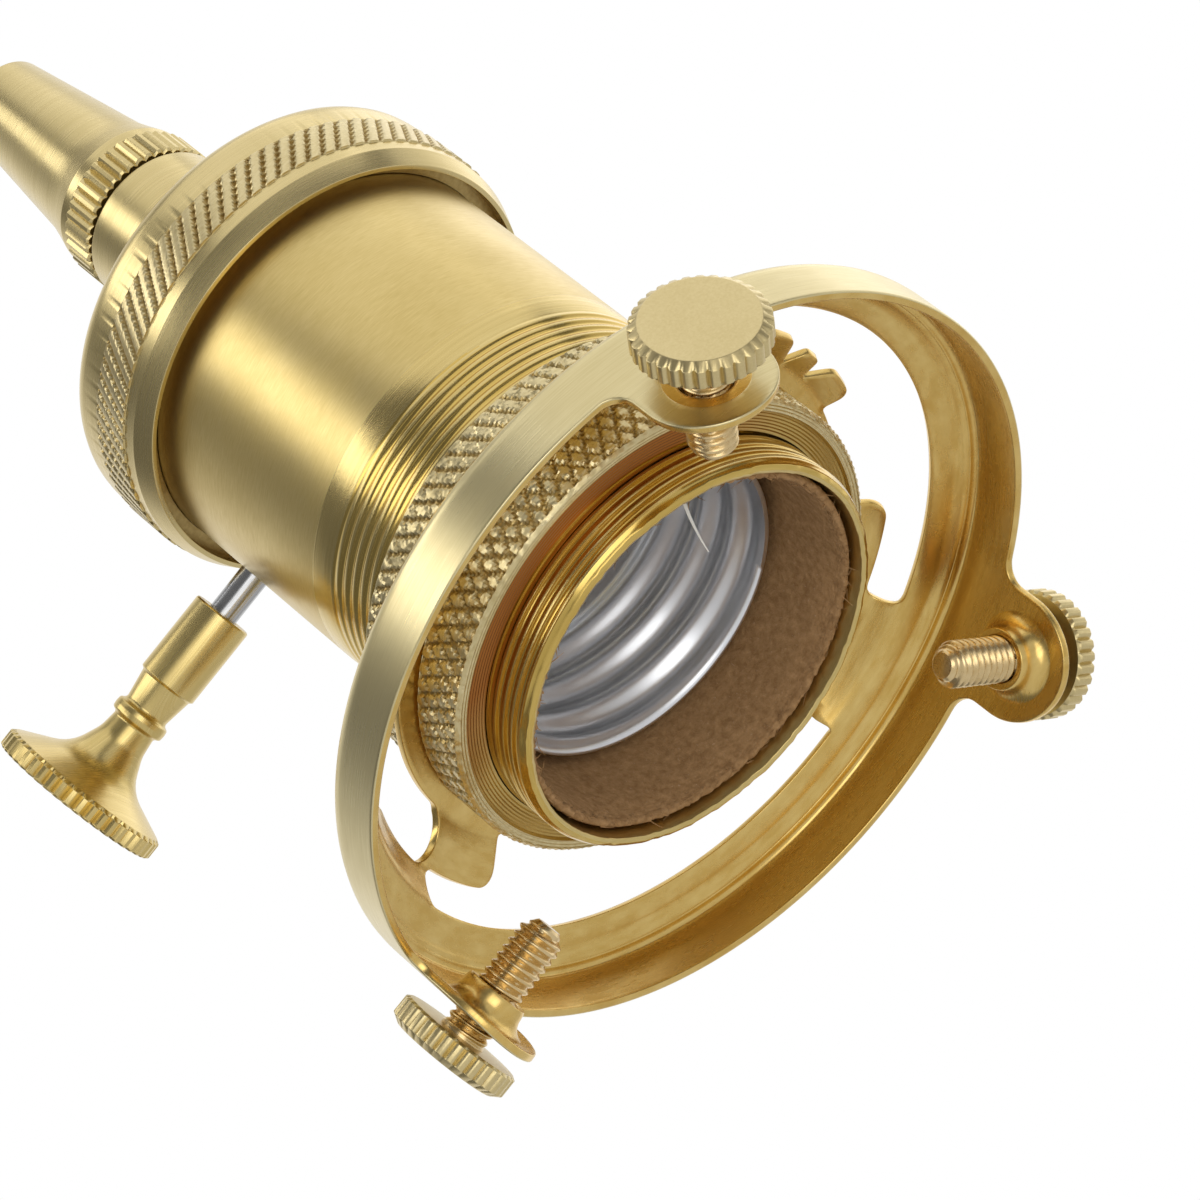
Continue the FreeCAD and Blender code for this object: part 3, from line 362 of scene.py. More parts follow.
# Painted shade: a darker copy of the brass for the knurl grooves and the inside of the cap's lip.
BRASS_GROOVE_SHADE_PAINTED = brass("brass_painted_shade_grooves", (2.0, 2.0, 9.0), 0.34, (0.36, 0.25, 0.09), (0.50, 0.37, 0.15), 0.02)
# The ring recess: brass painted darker for shade, with a painted copper reflection of the thread on one side.
BRASS_RECESS_PAINTED = brass("brass_ring_recess_painted_reflection", (0.1, 0.1, 2.0), 0.34, RECESS_PAINTED_SHADE, RECESS_PAINTED_GOLD, painted_tint=painted_thread_reflection)
# Pressed brass, deepened in colour partly to paint the reflection of light bounced inside the band.
BRASS_PRESSED_WITH_REFLECTION = brass("brass_pressed_sheet_painted_reflection", (0.4, 0.4, 3.0), 0.26, (0.67, 0.44, 0.12), (0.80, 0.58, 0.21), 0.006, 0.3)
BRASS_BAND = brass("brass_brushed_band", (0.25, 0.25, 16.0), 0.30, (0.66, 0.55, 0.28), (0.78, 0.67, 0.38), 0.006)
BRASS_KNOB = brass("brass_turned_knob", (12.0, 0.1, 0.1), 0.27, STRAW, PALE)
BRASS_SCREW = brass("brass_turned_screw", (5.0, 5.0, 5.0), 0.31, (0.66, 0.53, 0.26), (0.74, 0.61, 0.32))
BRASS_SHANK = brass("brass_screw_thread", (1.2, 1.2, 1.2), 0.26, (0.68, 0.49, 0.23), (0.80, 0.62, 0.34), 0.002)
STEEL_ROD = brass("steel_drawn_rod", (0.3, 4.0, 4.0), 0.20, (0.42, 0.42, 0.42), (0.60, 0.60, 0.60), 0.002)
STEEL_ZINC = brass("steel_zinc", (0.3, 0.3, 6.0), 0.35, (0.42, 0.42, 0.42), (0.60, 0.60, 0.60), 0.002)


def aluminium():
    """Rolled aluminium, cloudy, with faint lines round the thread."""
    nodes = Nodes("aluminium_rolled")
    fine = nodes.noise(nodes.scaled(0.1, 0.1, 1.5), 3.0, 0.5)
    broad = nodes.noise(nodes.scaled(0.4, 0.4, 0.4), 4.0, 0.6)
    nodes.link(nodes.mix(nodes.spread(broad, 0.35, 0.7, 0.0, 1.0), (0.84, 0.85, 0.87), (0.78, 0.79, 0.81)),
               nodes.shader.inputs["Base Color"])
    nodes.link(nodes.spread(fine, 0.3, 0.7, 0.30, 0.36), nodes.shader.inputs["Roughness"])
    nodes.shader.inputs["Metallic"].default_value = 1.0
    nodes.bump(broad, 0.002)
    return nodes.material


def cardboard():
    """Brown pressed cardboard with pale flecks."""
    nodes = Nodes("cardboard_pressed")
    grain = nodes.noise(nodes.scaled(1.6, 1.6, 1.6), 6.0, 0.65)
    fleck = nodes.noise(nodes.scaled(4.5, 4.5, 4.5), 4.0, 0.7)
    colour = nodes.mix(nodes.spread(grain, 0.35, 0.7, 0.0, 1.0), (0.30, 0.165, 0.068), (0.48, 0.285, 0.13))
    colour = nodes.mix(nodes.spread(fleck, 0.62, 0.74, 0.0, 0.5), colour, (0.70, 0.53, 0.36))
    nodes.link(colour, nodes.shader.inputs["Base Color"])
    nodes.shader.inputs["Roughness"].default_value = 0.95
    nodes.shader.inputs["Specular IOR Level"].default_value = 0.15
    nodes.bump(nodes.math("ADD", grain, nodes.math("MULTIPLY", fleck, 0.5)), 0.12)
    return nodes.material


def moulded(name, base, light, roughness):
    """A moulded or fired material with a slight mottle."""
    nodes = Nodes(name)
    grain = nodes.noise(nodes.scaled(1.2, 1.2, 1.2), 5.0, 0.6)
    nodes.link(nodes.mix(nodes.spread(grain, 0.3, 0.7, 0.0, 1.0), base, light), nodes.shader.inputs["Base Color"])
    nodes.link(nodes.spread(grain, 0.3, 0.7, roughness, roughness + 0.12), nodes.shader.inputs["Roughness"])
    nodes.bump(grain, 0.01)
    return nodes.material


ALUMINIUM = aluminium()
CARDBOARD = cardboard()
CERAMIC = moulded("ceramic_glazed", (0.78, 0.77, 0.73), (0.84, 0.83, 0.80), 0.18)
FIBRE = moulded("fibre_board", (0.10, 0.045, 0.03), (0.15, 0.07, 0.045), 0.6)
CAM = moulded("cam_moulded", (0.02, 0.018, 0.016), (0.035, 0.03, 0.028), 0.4)
NYLON = moulded("nylon_natural", (0.72, 0.70, 0.64), (0.80, 0.78, 0.72), 0.4)
BRONZE = brass("bronze_strip", (0.3, 6.0, 0.3), 0.32, (0.55, 0.34, 0.17), (0.66, 0.45, 0.25))

NODE_MATERIALS = {
    "shell_rivets": BRASS_TURNED, "contact_rivet": BRASS_TURNED, "line_terminal": BRASS_TURNED,
    "neutral_terminal": BRASS_TURNED, "terminal_screws": STEEL_ZINC, "socket_base": CERAMIC,
    "switch_cover": FIBRE, "switch_spring": BRONZE, "switch_cam": CAM, "nipple": STEEL_ZINC,
    "lock_nut": STEEL_ZINC, "grip_collet": NYLON, "centre_contact": BRONZE, "spindle": STEEL_ROD,
}


# ---------------------------------------------------------------- shell

THREAD_PITCH, THREAD_END, TURNED_END = 1.03, 23.9, 26.3
THREAD_CREST, THREAD_DEPTH, THREAD_VALLEY = 0.1, 0.14, 0.72


def make_outer_shell():
    """Brushed tube whose lower part carries the shade rings' thread."""
    bore, crest, low, high = 16.0, SHELL_RADIUS - THREAD_CREST, SHELL_LOW, SHELL_HIGH
    section = fillet([(bore, low + 0.15, 0.1), (bore + 0.35, low, 0.08), (crest - 0.3, low + 0.2, 0.1),
                      (crest, low + 0.7), (crest, THREAD_END), (crest + 0.02, THREAD_END + 0.1),
                      (SHELL_RADIUS, TURNED_END - 0.3), (SHELL_RADIUS, TURNED_END), (SHELL_RADIUS, high, 0.2),
                      (bore, high, 0.2)])
    section = refine(section, low + 0.3, THREAD_END, THREAD_PITCH / 10.0)

    def relief(turn, radius, height):
        across = (1.0 - triangle_wave(height / THREAD_PITCH - turn / TAU)) / THREAD_VALLEY
        valley = np.clip(1.0 - across ** 2, 0.0, 1.0)
        zone = window(height, low + 0.3, THREAD_END + 0.05, 0.5) * (radius > bore + 0.6)
        worn = 0.06 * wander(turn, 3, (5, 11, 23, 41, 67, 89)) * window(height, low - 1.0, low + 0.6, 0.3)
        return radius - THREAD_DEPTH * valley * zone, height - worn

    def zones(radius, height):
        outside = radius > bore + 0.3
        # The thread valleys take the painted reflection colour.
        valley = outside & (height < THREAD_END) & (radius < crest - 0.02)
        return np.where(valley, 1, np.where(outside & (height < TURNED_END), 2, 0))

    obj = turned("shell_tube", section, SHELL_AROUND, [BRASS_BODY, BRASS_THREAD_PAINTED_REFLECTION, BRASS_FINE], relief, zones)
    return place(obj, "holder", "brass_shell", "outer_shell")


# ---------------------------------------------------------------- shade rings

KNURL_ROUND, KNURL_ROW, KNURL_DEPTH, KNURL_STEPS = 84, 2.4, 0.3, 7
FACE_GROOVE = 0.26


def make_ring(name, node, seed, second_depth):
    """Diamond-knurled ring; its lower face has a grooved rim round a recess painted darker gold for shade and copper
    for the thread's reflection.
    """
    low, high = heights(node)
    outer, bore, step, face = reach(node), 17.08, 18.95, low + 0.2
    section = fillet([(bore, face), (step - 0.1, face), (step, low), (outer - 0.3, low, 0.05),
                      (outer, low + 0.25, 0.05), (outer, high - 0.25, 0.05), (outer - 0.3, high), (bore, high)])
    fine = []
    for number, point in enumerate(section):
        fine.append(point)
        following = section[(number + 1) % len(section)]
        if point[0] < following[0] and max(point[1], following[1]) < low + 0.25 and following[0] - point[0] > 0.5:
            cuts = int((following[0] - point[0]) / (FACE_GROOVE / 4.0))
            fine += [point + (following - point) * cut / cuts for cut in range(1, cuts)]
    section = refine(np.array(fine), low + 0.25, high - 0.25, KNURL_ROW / 18.0)

    def relief(turn, radius, height):
        row = (height - low - 0.78) / KNURL_ROW
        first = np.clip(2.4 * triangle_wave(turn / TAU * KNURL_ROUND + row), 0.0, 1.0)
        second = np.clip(2.4 * triangle_wave(turn / TAU * KNURL_ROUND - row), 0.0, 1.0)
        worn = 0.12 * wander(turn * 3.0 + height, seed, (13, 31, 57))
        diamond = np.minimum(first, 1.0 - second_depth * (1.0 - second)) + worn
        zone = window(height, low + 0.2, high - 0.2, 0.12) * (radius > outer - 0.05)
        grooved = (height < low + 0.21) & (radius < outer - 0.3) & (radius > bore + 0.05)
        groove = triangle_wave(radius / FACE_GROOVE) * grooved
        burr = wander(turn, seed, (37, 71, 113, 157)) * window(radius, outer - 0.5, outer + 0.2, 0.2)
        return (radius - KNURL_DEPTH * np.clip(1.0 - diamond, 0.0, 1.0) * zone,
                height + 0.07 * groove + 0.06 * burr * (height < low + 0.1))

    def zones(radius, height):
        # The recess takes the painted shade and reflection material.
        recess = (height < low + 0.3) & (radius < step - 0.02)
        # Knurl groove faces take the painted shade.
        cut = (height > low + 0.22) & (radius > outer - 1.0) & (radius < outer - 0.14)
        return np.where(recess, 1, np.where(cut, 2, 0))

    return turned(name, section, KNURL_ROUND * KNURL_STEPS, [BRASS_KNURL, BRASS_RECESS_PAINTED, BRASS_GROOVE_SHADE_PAINTED], relief, zones,
                  angle=20.0)


def make_rings():
    """The two shade rings, each with its own wear."""
    lower = make_ring("ring_lower", "lower_shade_ring", 1, 1.0)
    place(lower, "lower_ring", "brass_knurled", "lower_shade_ring")
    upper = make_ring("ring_upper", "upper_shade_ring", 2, 0.55)
    place(upper, "upper_ring", "brass_knurled", "upper_shade_ring")


# ---------------------------------------------------------------- cap

NECK_BORE = 4.95
BAR_RISE, BAR_CROSS, BAR_DEPTH = 2.16, 0.85, 0.36


def make_cap():
    """Turned cap with a helical knurl round its rim and a neck for the cord grip."""
    low, high, rim = CAP_LOW, CAP_HIGH, CAP_RADIUS
    smooth, knurl_low, knurl_high, shoulder = rim - 0.2, low + 2.8, low + 6.6, low + 10.4
    lip, thread, cavity, neck = 18.15, 17.15, 15.4, 6.8
    section = fillet([(lip, low, 0.05), (lip + 0.4, low, 0.1), (smooth, low + 1.6, 0.15),
                      (smooth, knurl_low - 0.05, 0.05), (rim, knurl_low), (rim, knurl_high - 0.1),
                      (smooth, knurl_high + 0.05), (smooth, shoulder, 2.8), (neck, shoulder, 0.1),
                      (neck, high, 0.25), (NECK_BORE, high, 0.1), (NECK_BORE, shoulder - 1.6),
                      (cavity, shoulder - 1.6), (cavity, low + 6.0), (thread, low + 6.0),
                      (thread, low + 1.4), (lip, low + 1.4)], steps=6)
    section = refine(section, knurl_low, knurl_high, 0.1)

    def relief(turn, radius, height):
        around = turn / TAU * KNURL_ROUND
        bar = np.clip((triangle_wave(around - (height - low) / BAR_RISE) - 0.12) / 0.3, 0.0, 1.0)
        cross = triangle_wave(around + (height - low) / BAR_CROSS)
        cut = (1.0 - bar) * (0.55 + 0.45 * cross)
        zone = (radius > smooth + 0.02) * (height > knurl_low - 0.02) * (height < knurl_high + 0.02)
        return radius - BAR_DEPTH * cut * zone, height

    def zones(radius, height):
        knurled = (height > knurl_low - 0.02) & (height < knurl_high) & (radius > rim - 0.6)
        # Painted shade: the inside of the cap's lip is darkened where the gap to the shell lies in shade.
        shaded = (height > low + 0.3) & (height < low + 5.0) & (radius < lip + 0.05)
        return np.where(shaded | knurled & (radius < rim - 0.12), 2, np.where(knurled, 1, 0))

    obj = turned("cap_turned", section, KNURL_ROUND * KNURL_STEPS, [BRASS_TURNED, BRASS_KNURL, BRASS_GROOVE_SHADE_PAINTED], relief,
                 zones)
    return place(obj, "holder", "brass_turned", "cap")


# ---------------------------------------------------------------- serrated turnings

SERRATIONS, TOOTH_STEPS = 44, 6


def serrated(name, section, depth, zone, material, matrix=None):
    """A turned piece with straight V serrations where the zone says."""
    def relief(turn, radius, height):
        groove = np.clip(1.0 - 1.7 * triangle_wave(turn / TAU * SERRATIONS), 0.0, 1.0)
        return radius - depth * groove * zone(radius, height), height

    return turned(name, section, SERRATIONS * TOOTH_STEPS, [material], relief, matrix=matrix, angle=25.0)


def make_cord_grip():
    """Long cone over the collet, on a serrated foot."""
    base, tip, foot, tip_bore = GRIP_LOW, GRIP_HIGH, GRIP_RADIUS, 3.2
    foot_top = base + 3.2
    section = fillet([(NECK_BORE, base), (foot - 0.2, base, 0.1), (foot, base + 0.2, 0.05), (foot, foot_top, 0.05),
                      (foot - 0.3, foot_top + 0.15), (foot - 0.25, base + 4.2, 0.3), (6.15, base + 5.8, 0.8),
                      (5.75, base + 7.4), (4.05, tip, 0.2), (tip_bore, tip, 0.15), (tip_bore, tip - 4.0),
                      (NECK_BORE, base + 6.8)], steps=6)
    section = refine(section, base + 0.1, foot_top + 0.05, 0.6)
    obj = serrated("cord_grip_cone", section, 0.32,
                   lambda radius, height: ((radius > foot - 0.25) & (height < foot_top + 0.1)).astype(float),
                   BRASS_TURNED)
    return place(obj, "grip", "brass_turned", "cord_grip")


def make_knob():
    """Sleeve on the spindle, a ringed waist, and a trumpet that ends in a serrated disc."""
    length, disc, sleeve, waist, bore, socket = KNOB_HIGH - KNOB_LOW, 7.5, 2.55, 1.9, 1.3, 6.0
    section = fillet([(bore, 0.0, 0.1), (sleeve - 0.1, 0.0, 0.15), (sleeve, 0.15, 0.1), (sleeve, 7.1, 0.1),
                      (2.3, 7.3, 0.2), (waist, 9.9, 0.4), (2.35, 10.15, 0.25), (2.4, 10.6, 0.3), (2.35, 11.1, 0.25),
                      (waist, 11.3, 0.3), (2.1, 13.0, 3.0), (3.2, 15.6, 4.0), (disc - 0.4, length - 1.7, 0.4),
                      (disc, length - 1.4, 0.1), (disc, length - 0.15, 0.1), (disc - 0.2, length, 0.05),
                      (0.01, length), (0.01, socket), (bore, socket)], steps=6)
    section = refine(section, length - 1.6, length, 0.4)
    matrix = (Matrix.Translation(Vector((-KNOB_LOW, 0.0, KNOB_LEVEL)) * MM)
              @ Matrix.Rotation(-math.pi / 2.0, 4, "Y"))
    obj = serrated("knob_turned", section, 0.38,
                   lambda radius, height: (radius > disc - 0.25).astype(float), BRASS_KNOB, matrix)
    return place(obj, "switch", "brass_turned", "knob")


HEAD_TEETH, HEAD_STEPS = 32, 7


def make_screws():
    """Thumb screws: a coarse-toothed head on a threaded shank with a bevelled tip."""
    head, head_height, shank, pitch = 5.2, 2.2, 1.93, 0.7
    for name, joint in SCREWS.items():
        tip, end = along(name, joint["axis"])
        length = end - tip
        under = length - head_height
        section = fillet([(0.01, 0.0), (1.0, 0.0, 0.1), (1.9, 1.0, 0.1), (shank, under),
                          (head - 0.3, under, 0.05), (head, under + 0.2, 0.05), (head, length - 0.5, 0.1),
                          (head - 0.75, length, 0.25), (0.01, length)])
        section = refine(section, 0.3, under - 0.05, 0.09)

        def relief(turn, radius, height):
            thread = 1.0 - np.abs(np.sin(math.pi * (height / pitch - turn / TAU)))
            zone = window(height, 0.25, under - 0.1, 0.4) * (radius < shank + 0.03) * (radius > 0.95)
            groove = np.clip(1.0 - 2.0 * triangle_wave(turn / TAU * HEAD_TEETH), 0.0, 1.0) * (radius > head - 0.27)
            return radius - 0.36 * thread ** 0.8 * zone - 0.3 * groove, height

        def zones(radius, height):
            return (radius < shank + 0.04).astype(int) * (height < under)

        degrees = math.degrees(math.atan2(joint["axis"][1], joint["axis"][0]))
        obj = turned(name + "_turned", section, HEAD_TEETH * HEAD_STEPS, [BRASS_SCREW, BRASS_SHANK], relief, zones,
                     outward_matrix(tip, degrees, SCREW_LEVEL), angle=62.0)
        place(obj, joint["child"], "brass_screw", name)


# ---------------------------------------------------------------- gallery

def arc_points(start, end, radius, spacing):
    """Points of an arc from start towards end, whose centre lies to the left for a positive radius."""
    start, end = np.array(start, dtype=float), np.array(end, dtype=float)
    chord = end - start
    length = np.linalg.norm(chord)
    left = np.array([-chord[1], chord[0]]) / length
    rise = math.sqrt(max(radius * radius - length * length / 4.0, 0.0))
    centre = (start + end) / 2.0 + left * (rise if radius > 0 else -rise)
    first, last = start - centre, end - centre
    turn = math.atan2(first[0] * last[1] - first[1] * last[0], float(first @ last))
    if radius > 0 and turn < 0:
        turn += TAU
    if radius < 0 and turn > 0:
        turn -= TAU
    steps = max(2, int(abs(turn * radius) / spacing))
    angles = turn * np.arange(steps) / steps
    cos, sin = np.cos(angles), np.sin(angles)
    return centre + np.stack([first[0] * cos - first[1] * sin, first[0] * sin + first[1] * cos], axis=1)


def run_round(corners, spacing):
    """Points round a closed outline of (x, y) or (x, y, arc radius to the next) corners."""
    points = []
    for number, corner in enumerate(corners):
        start, end = corner[:2], corners[(number + 1) % len(corners)][:2]
        if len(corner) > 2:
            points.extend(arc_points(start, end, corner[2], spacing))
            continue
        start, end = np.array(start, dtype=float), np.array(end, dtype=float)
        steps = max(1, int(np.linalg.norm(end - start) / spacing))
        points.extend(start + (end - start) * step / steps for step in range(steps))
    return np.array(points)


def soften(points, sweeps):
    """Ease the corners of a closed run of points."""
    for _ in range(sweeps):
        points = (np.roll(points, 1, axis=0) + 2.0 * points + np.roll(points, -1, axis=0)) / 4.0
    return points


def inside(points, loop):
    """Which points lie inside a closed loop."""
    x, y = points[:, 0][:, None], points[:, 1][:, None]
    ax, ay = loop[:, 0][None, :], loop[:, 1][None, :]
    bx, by = np.roll(ax, -1, axis=1), np.roll(ay, -1, axis=1)
    crosses = ((ay > y) != (by > y)) & (x < (bx - ax) * (y - ay) / np.where(by == ay, 1e-12, by - ay) + ax)
    return crosses.sum(axis=1) % 2 == 1


def filled(outer, holes, seeds, clear):
    """Triangles that fill an outline with holes, through seed points that keep clear of the edges."""
    loops = [outer] + holes
    edge_points = np.concatenate(loops)
    keep = inside(seeds, outer)
    for hole in holes:
        keep &= ~inside(seeds, hole)
    seeds = seeds[keep]
    nearest = np.array([np.min(np.hypot(*(edge_points - seed).T)) for seed in seeds])
    seeds = seeds[nearest > clear]
    edges = []
    start = 0
    for loop in loops:
        edges += [(start + step, start + (step + 1) % len(loop)) for step in range(len(loop))]
        start += len(loop)
    points = [Vector(point) for point in np.concatenate([edge_points, seeds])]
    found, _, triangles, _, _, _ = delaunay_2d_cdt(points, edges, [], 0, 1e-6)
    found = np.array([tuple(point) for point in found])
    triangles = np.array([triangle for triangle in triangles if len(triangle) == 3])
    middle = found[triangles].mean(axis=1)
    keep = inside(middle, outer)
    for hole in holes:
        keep &= ~inside(middle, hole)
    return found, triangles[keep]


def at(radius, degrees, *arc):
    """A corner at a radius and an angle; a third value is the radius of the arc that follows it."""
    turn = math.radians(degrees)
    return (radius * math.cos(turn), radius * math.sin(turn)) + arc


PLATE_BORE, WINDOW_BORE, FLANGE_BORE, PLATE_EDGE = 17.3, 21.5, 27.4, 30.9
EAR, RELIEF, LOBE, TOOTH = 25.4, 25.7, 23.62, 23.33


def window_loop(turned_by):
    """One window between two arms; it runs round from the flange end of an arm to the next ear."""
    hub = WINDOW_BORE
    corners = [
        at(FLANGE_BORE, 25.5, FLANGE_BORE), at(FLANGE_BORE, 120.0, 1.02), at(EAR, 120.0, -EAR),
        at(EAR, 105.4, -1.5), at(EAR - 1.5, 102.0), at(hub, 102.0, -hub), at(hub, 73.5),
        at(LOBE - 0.6, 73.0, -0.9), at(LOBE, 71.2, -LOBE), at(LOBE, 65.4, -0.9), at(LOBE - 0.5, 64.2),
        at(hub, 61.2), at(TOOTH, 59.0, -TOOTH), at(TOOTH, 55.0), at(hub, 52.8), at(LOBE - 0.5, 49.8, -0.9),
        at(LOBE, 48.6, -LOBE), at(LOBE, 42.8, -0.9), at(LOBE - 0.6, 41.0), at(hub, 40.5, -hub),
        at(hub, 5.6, 2.12), at(RELIEF, 5.6, RELIEF), at(RELIEF, 22.5), at(RELIEF + 0.2, 24.3),
        at(RELIEF + 0.5, 26.2),
    ]
    turn = math.radians(turned_by)
    points = soften(run_round(corners, 0.25), 2)
    rotation = np.array([[math.cos(turn), math.sin(turn)], [-math.sin(turn), math.cos(turn)]])
    return points @ rotation


# Radius and height of the gallery's lower face at each of its bends.
DISH = np.array([(17.0, 9.5), (21.4, 9.5), (25.9, 7.2), (27.4, 5.0), (28.9, 4.45), (29.4, 4.4), (30.2, 3.72),
                 (31.2, 3.72)])


def dish_height(radius):
    """Height of the gallery's lower face at a radius, with eased bends."""
    fine = np.linspace(16.5, 31.4, 600)
    height = np.interp(fine, DISH[:, 0], DISH[:, 1])
    kernel = np.hanning(25)
    height = np.convolve(np.pad(height, 12, mode="edge"), kernel / kernel.sum(), mode="valid")
    return np.interp(radius, fine, height)


PLATE_SHEET, BAND_SHEET, BAND_CORNER = 0.66, 0.7, 1.2


def round_edges(obj):
    """Take the sharpness off a sheet's cut edges."""
    bevel = obj.modifiers.new("edges", "BEVEL")
    bevel.width = 0.13 * MM
    bevel.segments = 2
    bevel.limit_method = "ANGLE"
    bevel.angle_limit = math.radians(50.0)
    bevel.harden_normals = False


def make_gallery_plate():
    """Dished plate with its bore and three windows, cut flat and pressed to shape."""
    outer = np.array([at(PLATE_EDGE, step * 0.5) for step in range(720)])
    bore = np.array([at(PLATE_BORE, step) for step in range(360)])
    windows = [window_loop(lug) for lug in (-60.0, 60.0, 180.0)]
    rows, row_step, columns = 31, 0.42, 288
    seeds = np.array([at(PLATE_BORE + 0.4 + row_step * row, (column + row % 2 / 2.0) * 360.0 / columns)
                      for row in range(rows) for column in range(columns)])
    flat, triangles = filled(outer, [bore] + windows, seeds, 0.28)
    height = dish_height(np.hypot(flat[:, 0], flat[:, 1])) + 0.02
    points = np.column_stack([flat, height])
    obj = new_object("gallery_plate", points, triangles[:, ::-1], [BRASS_PRESSED_WITH_REFLECTION])
    thicken = obj.modifiers.new("sheet", "SOLIDIFY")
    thicken.thickness = PLATE_SHEET * MM
    thicken.offset = -1.0
    round_edges(obj)
    return applied(obj)


def make_gallery_band():
    """Rim band with its three lugs, rolled over at the top towards the flange."""
    full = TAU * BAND_RADIUS
    rim, lug, web, hole, bend_start = -0.8, 5.3, 1.8, 3.2, 3.2
    arc_step, edge_step, row_step, column_step, lowest, round_hole = 0.3, 0.45, 0.4, 0.55, -9.3, 48
    bottom = [(0.0, rim)]
    for degrees in LUGS:
        middle = math.radians(degrees) * BAND_RADIUS
        bottom += [(middle - lug - web, rim, 0.0), (middle - lug, rim - web), (middle - lug, SCREW_LEVEL, lug),
                   (middle + lug, SCREW_LEVEL), (middle + lug, rim - web), (middle + lug + web, rim)]
    bottom.append((full, rim))
    run = []
    for start, end in zip(bottom, bottom[1:]):
        start_point, end_point = np.array(start[:2], dtype=float), np.array(end[:2], dtype=float)
        if len(start) > 2 and start[2] > 0:
            run.extend(arc_points(start_point, end_point, start[2] * 1.0001, arc_step))
        elif abs(start_point[0] - end_point[0]) > 0.1 and abs(start_point[1] - end_point[1]) > 0.1:
            run.extend(arc_points(start_point, end_point, -web, arc_step))
        else:
            steps = max(1, int(np.linalg.norm(end_point - start_point) / edge_step))
            run.extend(start_point + (end_point - start_point) * step / steps for step in range(steps))
    run.append(np.array([full, rim]))
    top_edge = bend_start + BAND_CORNER * math.pi / 2.0 + 0.3
    sides = int((top_edge - rim) / row_step)
    right = [np.array([full, rim + (top_edge - rim) * step / sides]) for step in range(1, sides)]
    steps = int(full / edge_step)
    top = [np.array([full * (1.0 - step / steps), top_edge]) for step in range(steps + 1)]
    left = [np.array([0.0, top_edge - (top_edge - rim) * step / sides]) for step in range(1, sides)]
    outer = np.array(run + right + top + left)
    holes = [np.array([(math.radians(degrees) * BAND_RADIUS + hole * math.cos(step * TAU / round_hole),
                        SCREW_LEVEL + hole * math.sin(step * TAU / round_hole)) for step in range(round_hole)])
             for degrees in LUGS]
    seeds = np.array([(x, y) for y in np.arange(lowest, top_edge, row_step)
                      for x in np.arange(0.3, full, column_step)])
    flat, triangles = filled(outer, holes, seeds, 0.22)
    turn = flat[:, 0] / BAND_RADIUS
    bend = np.clip((flat[:, 1] - bend_start) / BAND_CORNER, 0.0, math.pi / 2.0)
    past = np.clip(flat[:, 1] - bend_start - BAND_CORNER * math.pi / 2.0, 0.0, None)
    radius = BAND_RADIUS - BAND_CORNER + BAND_CORNER * np.cos(bend) - past
    height = np.where(flat[:, 1] < bend_start, flat[:, 1], bend_start + BAND_CORNER * np.sin(bend))
    points = np.column_stack([radius * np.cos(turn), radius * np.sin(turn), height])
    obj = new_object("gallery_band", points, triangles, [BRASS_PRESSED_WITH_REFLECTION])
    weld = obj.modifiers.new("seam", "WELD")
    weld.merge_threshold = 0.01 * MM
    thicken = obj.modifiers.new("sheet", "SOLIDIFY")
    thicken.thickness = BAND_SHEET * MM
    thicken.offset = -1.0
    thicken.use_even_offset = True
    round_edges(obj)
    return applied(obj)


def make_collar(degrees):
    """Collar drawn inwards round a screw hole, bent to the band's curve."""
    hole = 2.03
    neck = fillet([(3.35, -0.2), (3.3, -0.02), (2.35, -0.02, 0.3), (hole, -0.5, 0.3), (hole, -2.7, 0.1),
                   (2.6, -2.75, 0.12), (2.7, -2.5)], closed=False)
    flare = [(4.5 - 1.75 * math.sin(angle), -2.1 + 1.55 * math.cos(angle))
             for angle in (step * math.pi / 16 for step in range(9))]
    section = np.concatenate([neck, np.array(flare[::-1])])
    around = COLLAR_AROUND
    turn = np.arange(around) * TAU / around
    side = np.outer(np.cos(turn), section[:, 0])
    up = np.outer(np.sin(turn), section[:, 0])
    out = np.repeat(section[None, :, 1], around, axis=0)
    azimuth = math.radians(degrees) + side / BAND_RADIUS
    radius = BAND_RADIUS + out
    points = np.stack([radius * np.cos(azimuth), radius * np.sin(azimuth), SCREW_LEVEL + up], axis=2)
    faces = grid_faces(around, len(section))
    return new_object("collar_%d" % degrees, points.reshape(-1, 3), faces, [BRASS_PRESSED_WITH_REFLECTION])


def make_gallery():
    """Plate, band and collars as one pressing, with the band's outer face brushed; the rest has a deeper gold that is
    partly painted reflection.
    """
    parts = [make_gallery_plate(), make_gallery_band()] + [make_collar(degrees) for degrees in LUGS]
    obj = joined("gallery_pressed", parts)
    obj.data.materials.append(BRASS_BAND)
    for face in obj.data.polygons:
        middle, normal = face.center / MM, face.normal
        radius = math.hypot(middle.x, middle.y)
        outward = (middle.x * normal.x + middle.y * normal.y) / radius
        if radius > BAND_RADIUS - 0.3 and outward > 0.2:
            face.material_index = 1
    return place(obj, "holder", "brass_pressed", "gallery")


# ---------------------------------------------------------------- lamp thread, liner

